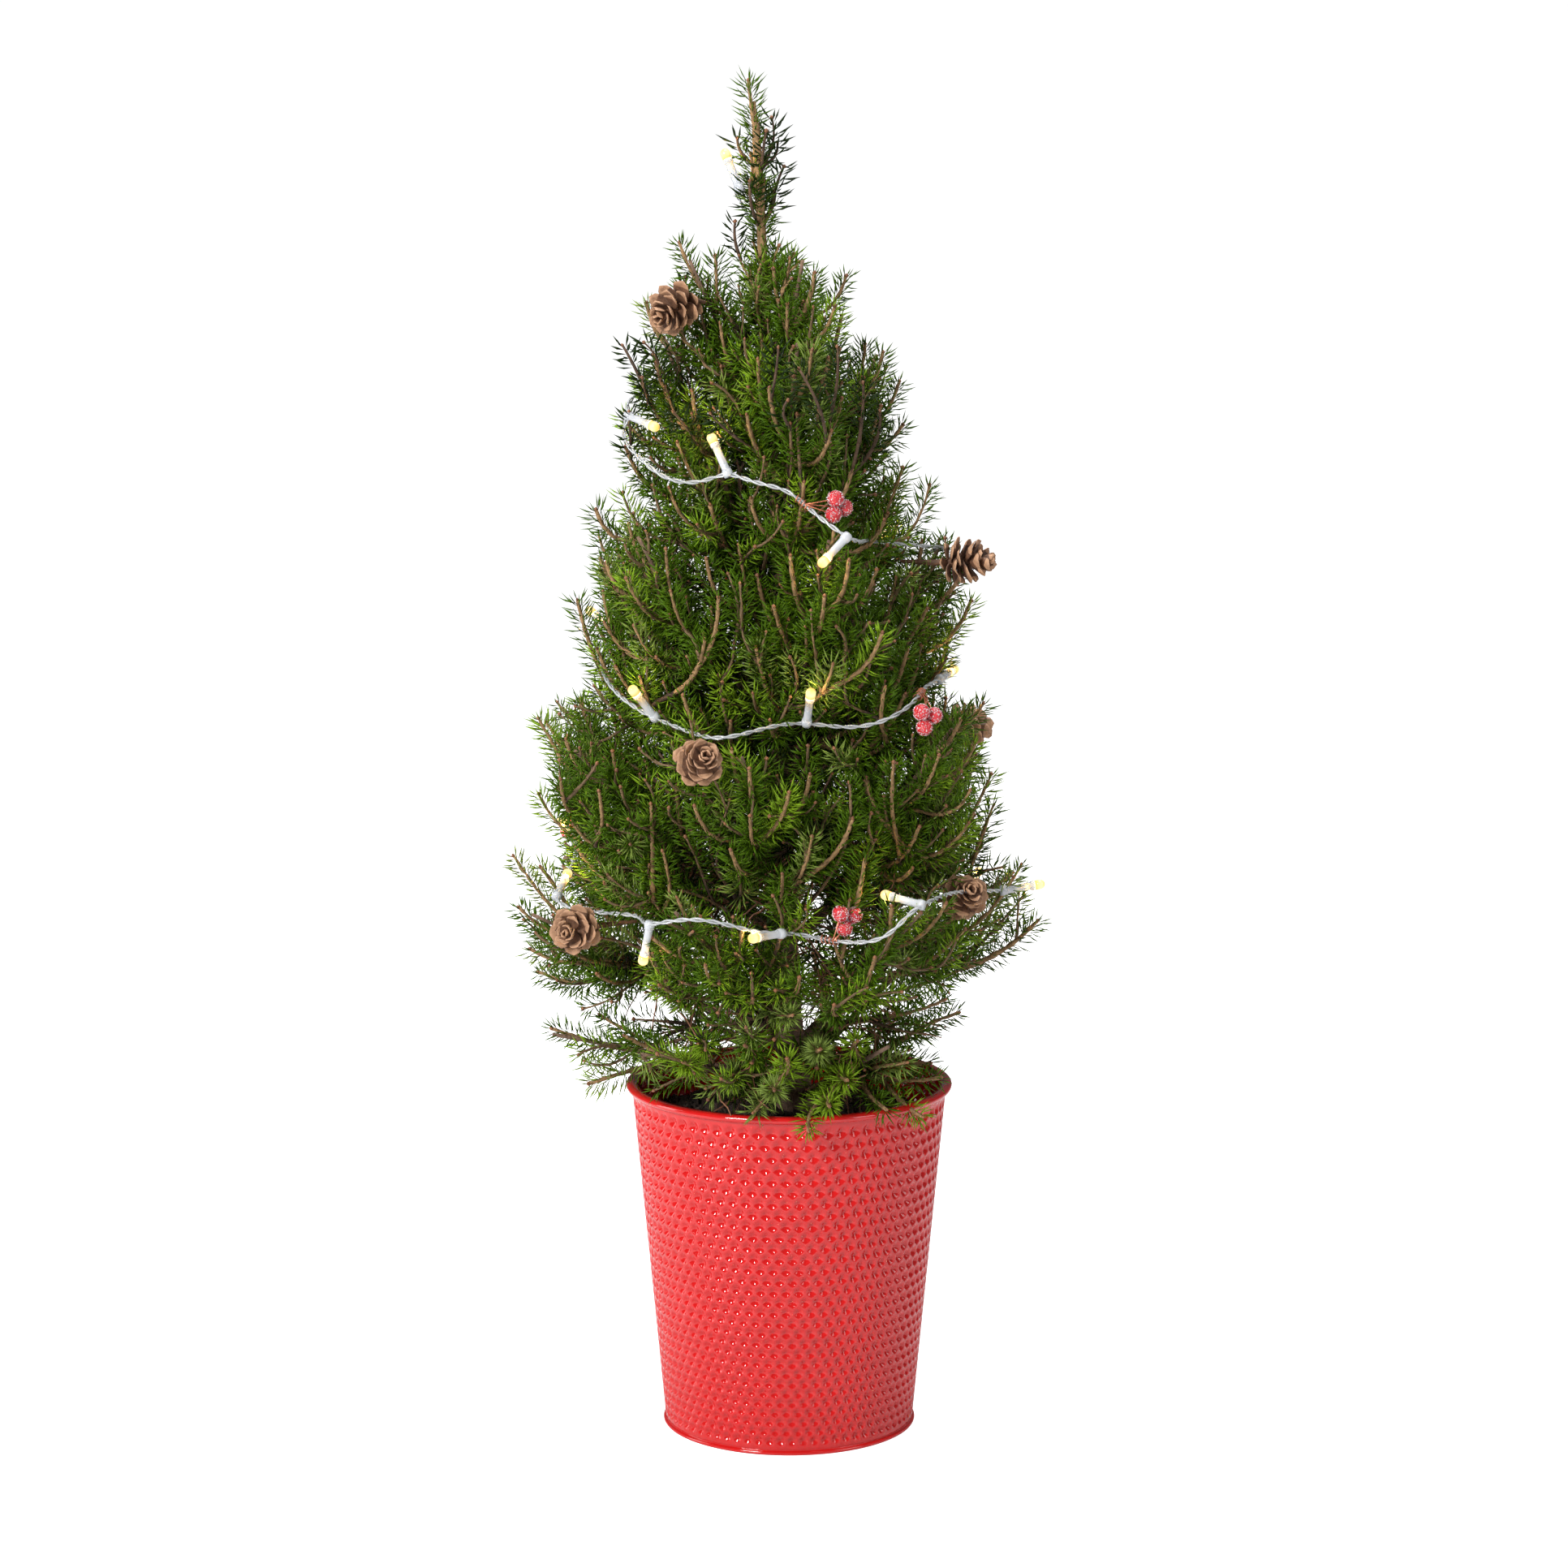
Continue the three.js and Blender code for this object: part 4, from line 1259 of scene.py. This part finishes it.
class TREE_OT_lamps(bpy.types.Operator):
    """Makes the lamps and their holders"""

    bl_idname = "tree.lamps"
    bl_label = "Lamps"

    def execute(self, context):
        settings = context.scene.tree_dress
        random = np.random.default_rng(LAMP_SEED)
        cable, lift = cable_line(settings), settings.cable_lift
        front = np.array(FRONT_LAMPS)
        feet = surface_point(front[:, 0], front[:, 1], lift)
        heads = surface_point(front[:, 2], front[:, 3], lift + 4 * MM)
        turns, heights = np.array(CABLE_ROUTE).T
        order = np.argsort(turns)
        back = np.array(BACK_LAMP_TURNS, float)
        back_z = np.interp(back, turns[order], heights[order])
        back_feet = surface_point(back, back_z, lift)
        back_heads = surface_point(back + random.uniform(-7, 7, len(back)),
                                   back_z + random.uniform(-0.008, 0.024, len(back)), lift + 6 * MM)
        feet, heads = np.concatenate([feet, back_feet]), np.concatenate([heads, back_heads])
        feet = np.array([cable[nearest_on(cable, foot)] for foot in feet])
        ways = unit(heads - feet)[:, None]
        count = len(feet)

        def turned(stations, radii):
            """A round body on every lamp's line: radii at stations from its foot, in millimetres."""
            paths = feet[:, None] + ways * (np.array(stations) * MM)[None, :, None]
            return tubes(paths, np.broadcast_to(np.array(radii) * MM, (count, len(radii))), LAMP_SIDES)

        milky = finish_material(
            "milky holder", (0.84, 0.87, 0.92), (0.74, 0.77, 0.82), mottle=120, roughness=0.22,
            roughness_second=0.3, Transmission_Weight=0.45, Coat_Weight=0.3)
        holder = turned([-1.5, -1.3, 0.5, 3.2, 3.4, 3.8, 12, 18.2, 18.4, 20.4, 20.8, 21],
                        [0.2, 2.9, 3.3, 3.0, 2.6, 2.45, 2.35, 2.3, 2.9, 2.95, 2.6, 0.3])
        new_piece("lamp_holders", holder, [milky], "lamp_holder")

        arch = np.linspace(0, math.pi / 2, 7)[1:]
        stations = [20.9, 21.1, 24.2, *(24.2 + 3.2 * np.sin(arch))]
        radii = [0.3, 2.9, 3.1, *np.maximum(3.1 * np.cos(arch), 0.12)]
        piece = new_piece("lamps", turned(stations, radii), [lamp_glow(settings)], "lamp")
        share = np.interp(stations, [stations[0], stations[-1]], [0, 1])
        ring_core = np.append(np.sin(math.pi * share).repeat(LAMP_SIDES), [0, 0])
        core = piece.data.attributes.new("core", "FLOAT", "POINT")
        core.data.foreach_set("value", np.tile(ring_core, count).astype(np.float32))
        return {"FINISHED"}


CONE_SCALES, SCALE_RINGS, SCALE_SIDES = 38, 7, 8
RIM_RINGS = 2  # rings of a scale whose faces have the rim's colour
STALK_STEPS = 12


def cone_scales(length, random):
    """One cone at the origin along +Z: scales at golden turns round a core. A scale is a flat tube whose
    half width grows like a sine to a rounded end; it opens wide at the cone's foot and closes over its
    tip, and curls a little towards the axis."""
    share = np.linspace(0, 1, CONE_SCALES)
    u = np.linspace(0, 1, SCALE_RINGS)[None, :, None]
    phi = circle(SCALE_SIDES)[None, None]
    size = length * np.interp(share, [0, 0.15, 0.45, 0.8, 1], [0.38, 0.50, 0.54, 0.36, 0.18])
    size = (size * random.uniform(0.88, 1.10, CONE_SCALES))[:, None, None]
    rounded = np.sqrt(np.clip(1 - (np.clip(u - 0.62, 0, 1) / 0.38) ** 2, 0.02, 1))
    half = size * 0.37 * (0.3 + 0.7 * np.sin(np.clip(u / 0.62, 0, 1) * math.pi / 2)) * rounded
    x = half * np.cos(phi)
    wave = 0.055 * size * np.sin(8 * x / size + random.uniform(0, 6, (CONE_SCALES, 1, 1)))
    thick = 0.028 * length * (1 - 0.6 * u) + 0.2 * MM
    over = 0.30 * size * u ** 2 + 0.9 * x ** 2 / size * (0.4 + u) + thick * np.sin(phi) + wave * u
    along = size * (u - 0.10 * u ** 3) * np.ones_like(phi)
    opening = np.radians(np.interp(share, [0, 0.3, 0.7, 1], [116, 96, 70, 30]))[:, None, None]
    opening = opening + random.normal(size=(CONE_SCALES, 1, 1)) * 0.13
    out = along * np.sin(opening) - over * np.cos(opening) + 0.03 * length
    up = along * np.cos(opening) + over * np.sin(opening)
    up = up + length * (0.86 * share - 0.42)[:, None, None]
    turn = (np.arange(CONE_SCALES) * GOLDEN_TURN)[:, None, None]
    turn = turn + random.normal(size=(CONE_SCALES, 1, 1)) * 0.08
    points = np.stack([out * np.cos(turn) - x * np.sin(turn), out * np.sin(turn) + x * np.cos(turn), up], -1)
    vertices = np.concatenate([points.reshape(CONE_SCALES, -1, 3), points[:, [0, -1]].mean(2)], 1)
    stride = SCALE_RINGS * SCALE_SIDES + 2
    faces = [repeat_faces(each, CONE_SCALES, stride) for each in closed_faces(SCALE_RINGS, SCALE_SIDES)]
    return vertices.reshape(-1, 3), faces


def rim_faces():
    """Which faces of a cone's scales have the rim's colour: 1 for the last quads of a scale and its end."""
    ring_of = np.repeat(np.arange(SCALE_RINGS - 1), SCALE_SIDES)
    quads = ring_of >= SCALE_RINGS - 1 - RIM_RINGS
    caps = np.repeat([False, True], SCALE_SIDES)
    return np.concatenate([np.tile(quads, CONE_SCALES), np.tile(caps, CONE_SCALES)]).astype(int)


def turned_to(points, way, roll):
    """Points whose own axis is +Z, turned to face a way after a roll about it."""
    level = unit(np.cross(UP if abs(way[2]) < 0.95 else [1.0, 0, 0], way))
    over = np.cross(way, level)
    x = points[:, 0] * math.cos(roll) - points[:, 1] * math.sin(roll)
    y = points[:, 0] * math.sin(roll) + points[:, 1] * math.cos(roll)
    return x[:, None] * level + y[:, None] * over + points[:, 2:3] * way


class TREE_OT_cones(bpy.types.Operator):
    """Makes the small open cones and their stalks"""

    bl_idname = "tree.cones"
    bl_label = "Cones"

    def execute(self, context):
        settings = context.scene.tree_dress
        random = np.random.default_rng(CONE_SEED)
        parts, stalks = [], []
        for turn, z, way in CONES:
            way = unit(np.array(way, float))
            length = settings.cone_length * random.uniform(0.92, 1.1)
            vertices, faces = cone_scales(length, random)
            place = surface_point(turn, z, settings.cable_lift + 3 * MM)[0]
            parts.append((turned_to(vertices, way, random.uniform(0, 6)) + place, faces))
            back = place - way * length * 0.40
            root = trunk_at(z) + (back - trunk_at(z)) * 0.72
            stalks.append(bezier(root, root * 0.5 + back * 0.5, back - way * 0.012,
                                 place + way * length * 0.42, STALK_STEPS))
        scale = finish_material(
            "cone scales", (0.20, 0.095, 0.050), (0.085, 0.040, 0.021), mottle=210, roughness=0.62,
            grain=0.0003, grain_scale=1200)
        rim = finish_material("cone scale rims", (0.47, 0.27, 0.155), (0.30, 0.16, 0.088), mottle=260,
                              roughness=0.66, grain=0.0002, grain_scale=1200)
        new_piece("cones", joined(parts), [scale, rim], "cone_scales",
                  material_index=np.tile(rim_faces(), len(parts)))
        radii = np.broadcast_to(np.linspace(1.0, 2.6, STALK_STEPS) * MM, (len(stalks), STALK_STEPS))
        new_piece("cone_stalks", tubes(np.array(stalks), radii, 8), [scale], "cone_scales")
        return {"FINISHED"}


def balls(centres, radius, rows, columns):
    """Slightly lumpy balls: rows from pole to pole, each a circle whose radius is the sine of its tilt,
    closed by a flat face at either pole."""
    tilt = np.linspace(0.02, math.pi - 0.02, rows)[:, None]
    turn = circle(columns)
    ball = np.stack([np.sin(tilt) * np.cos(turn), np.sin(tilt) * np.sin(turn),
                     np.cos(tilt) * np.ones(columns)], -1)
    shells = [centre + ball * (1 + 0.02 * waves(ball, 0.7, 100 + index)[..., None]) * radius
              for index, centre in enumerate(centres)]
    side = np.arange(columns)
    faces = [grid_quads(rows, columns)[:, ::-1], side[None], ((rows - 1) * columns + side[::-1])[None]]
    return np.array(shells).reshape(-1, 3), [repeat_faces(f, len(centres), rows * columns) for f in faces]


class TREE_OT_berries(bpy.types.Operator):
    """Makes the frosted berries, their crystals and the copper wires that tie them to the cable"""

    bl_idname = "tree.berries"
    bl_label = "Berries"

    def execute(self, context):
        settings = context.scene.tree_dress
        random = np.random.default_rng(BERRY_SEED)
        radius, crystals = settings.berry_radius, settings.crystals
        cable = cable_line(settings)
        centres, grains, stems, coils = [], [], [], []
        for place_turn, place_z, wire_turn, wire_z in BERRIES:
            middle = surface_point(place_turn, place_z, settings.cable_lift + 5 * MM)[0]
            at = nearest_on(cable, surface_point(wire_turn, wire_z, settings.cable_lift)[0])
            knot = cable[at]
            out = unit(from_trunk(middle) * LEVEL)
            level = np.cross(UP, out)
            first = random.uniform(0, FULL_TURN)
            for k in range(3):
                angle = first + k * FULL_TURN / 3
                centre = middle + radius * 1.12 * (math.cos(angle) * level + math.sin(angle) * UP)
                centre = centre + out * random.uniform(-2, 2) * MM
                centres.append(centre)
                spots = unit(random.normal(size=(crystals, 3)))
                sizes = random.uniform(0.25, 0.62, (crystals, 1, 1)) * MM
                shapes = unit(OCTAHEDRON[None] + random.normal(size=(crystals, 6, 3)) * 0.45)
                grains.append((centre + spots * radius)[:, None] + shapes * sizes)
                start = knot + out * 2 * MM
                stems.append(bezier(start, start + out * 6 * MM + level * random.normal() * 3 * MM,
                                    centre - (centre - knot) * 0.3 + out * 2 * MM, centre, 26))
            line = evenly(cable[max(0, at - 4):at + 5], 0.25 * MM)[:52][None]
            _, across, over = carried_frames(line)
            turn = np.linspace(0, FULL_TURN * 4.5, line.shape[1])[None, :, None]
            coil = (line + (np.cos(turn) * across + np.sin(turn) * over) * 2.5 * MM)[0]
            coils.append(at_runs(coil, np.linspace(0, 1, len(coil)), np.linspace(0, 1, 78)))
        berry = finish_material(
            "frosted berries", settings.berry_colour, lighter(settings.berry_colour, 0.6), mottle=500,
            roughness=0.35, grain=0.0004, grain_scale=2200, Subsurface_Weight=0.25,
            Subsurface_Scale=0.002, Coat_Weight=0.4)
        frost = finish_material(
            "sugar frost", (0.93, 0.80, 0.82), (0.80, 0.62, 0.66), mottle=900, roughness=0.2,
            roughness_second=0.4, Transmission_Weight=0.35, Coat_Weight=0.5)
        copper = finish_material(
            "copper wire", (0.72, 0.26, 0.16), (0.50, 0.17, 0.10), mottle=200, roughness=0.3,
            roughness_second=0.42, Metallic=0.85)
        new_piece("berries", balls(centres, radius, 12, 20), [berry], "frosted_berries")
        new_piece("berry_frost", octahedra(np.concatenate(grains)), [frost], "frosted_berries",
                  smooth=False)
        wires = [tubes(np.array(lines), np.full((len(lines), len(lines[0])), settings.wire_radius), 6)
                 for lines in (stems, coils)]
        new_piece("copper_wires", joined(wires), [copper], "copper_wire")
        return {"FINISHED"}


# ---- Stage ----

FLOOR_REACH = 40.0
AIM = (0, 0, 0.4)  # what the softboxes face
BACKDROP = 1.02  # brightness of what the camera sees behind the tree
# Softboxes: the setting of each one's power, its place, width and height.
SOFTBOXES = [
    ("key", (-1.5, -1.95, 1.6), (0.8, 0.95)), ("fill", (1.9, -1.2, 1.1), (0.9, 1.4)),
    ("side", (-2.1, 0.15, 0.7), (0.7, 1.7)), ("top", (0.1, 0.3, 2.3), (1.4, 1.4)),
]


class TREE_OT_stage(bpy.types.Operator):
    """Makes the pale floor, the soft lights and the camera"""

    bl_idname = "tree.stage"
    bl_label = "Stage"

    def execute(self, context):
        scene = context.scene
        settings = scene.tree_stage

        def placed(name, data):
            made = bpy.data.objects.new(name, data)
            scene.collection.objects.link(made)
            return made

        corners = FLOOR_REACH * np.array([[-1, -1, 0], [1, -1, 0], [1, 1, 0], [-1, 1, 0]])
        pale = finish_material("pale floor", (0.86, 0.86, 0.87), (0.88, 0.88, 0.89), mottle=3, roughness=0.7)
        tree = pale.node_tree
        shader = tree.nodes["Principled BSDF"]
        shader.inputs["Emission Color"].default_value = (1, 1, 1, 1)
        rays = new_node(tree, "LightPath")
        glow = new_node(tree, "Math", {1: settings.floor_glow}, operation="MULTIPLY")
        link(tree, (rays, "Is Camera Ray", glow, 0), (glow, "Value", shader, "Emission Strength"))
        floor = new_piece("floor", (corners, [np.array([[0, 1, 2, 3]])]), [pale])

        for name, place, size in SOFTBOXES:
            data = bpy.data.lights.new(name, "AREA")
            data.shape = "RECTANGLE"
            data.size, data.size_y = size
            data.energy = getattr(settings, name + "_power")
            light = placed(name, data)
            light.location = place
            light.rotation_mode = "QUATERNION"
            light.rotation_quaternion = (Vector(AIM) - Vector(place)).to_track_quat("-Z", "Y")

        world = bpy.data.worlds.new("studio")
        scene.world = world
        world.use_nodes = True
        tree = world.node_tree
        background = tree.nodes["Background"]
        background.inputs["Color"].default_value = (1, 1, 1, 1)
        rays = new_node(tree, "LightPath")
        strength = new_node(tree, "MapRange", {"To Min": settings.world_strength, "To Max": BACKDROP})
        link(tree, (rays, "Is Camera Ray", strength, "Value"),
             (strength, "Result", background, "Strength"))
        scene.view_settings.view_transform = "Standard"

        data = bpy.data.cameras.new("camera")
        data.lens = settings.lens
        data.sensor_width = 36
        data.clip_start, data.clip_end = 0.05, 50
        camera = placed("camera", data)
        camera.location = settings.camera_place
        camera.rotation_euler = (math.pi / 2 - settings.camera_pitch, 0, 0)
        scene.camera = camera
        return {"FINISHED"}


class TREE_PT_panel(bpy.types.Panel):
    """Lists the tree's settings and the buttons that make its pieces"""

    bl_idname = "TREE_PT_panel"
    bl_label = "Potted Christmas tree"
    bl_space_type = "VIEW_3D"
    bl_region_type = "UI"
    bl_category = "Tree"

    def draw(self, context):
        layout = self.layout
        for group, makers in PANEL_GROUPS:
            box = layout.box()
            settings = getattr(context.scene, group)
            for field in settings.bl_rna.properties:
                if field.identifier not in ("rna_type", "name"):
                    box.prop(settings, field.identifier)
            for maker in makers:
                box.operator(maker.bl_idname)


PANEL_GROUPS = [
    ("tree_pot", [TREE_OT_pot, TREE_OT_soil]),
    ("tree_growth", [TREE_OT_wood, TREE_OT_twigs, TREE_OT_needles]),
    ("tree_dress", [TREE_OT_cable, TREE_OT_lamps, TREE_OT_cones, TREE_OT_berries]),
    ("tree_stage", [TREE_OT_stage]),
]
SETTINGS = {"tree_pot": TreePotSettings, "tree_growth": TreeGrowthSettings,
            "tree_dress": TreeDressSettings, "tree_stage": TreeStageSettings}
CLASSES = [*SETTINGS.values(), *(maker for _, makers in PANEL_GROUPS for maker in makers), TREE_PT_panel]


def register():
    for each in CLASSES:
        bpy.utils.register_class(each)
    for name, settings in SETTINGS.items():
        setattr(bpy.types.Scene, name, PointerProperty(type=settings))


def unregister():
    for name in SETTINGS:
        delattr(bpy.types.Scene, name)
    for each in reversed(CLASSES):
        bpy.utils.unregister_class(each)


def main():
    register()
    for _, makers in PANEL_GROUPS:
        for maker in makers:
            group, action = maker.bl_idname.split(".")
            getattr(getattr(bpy.ops, group), action)()


if __name__ == "__main__":
    main()
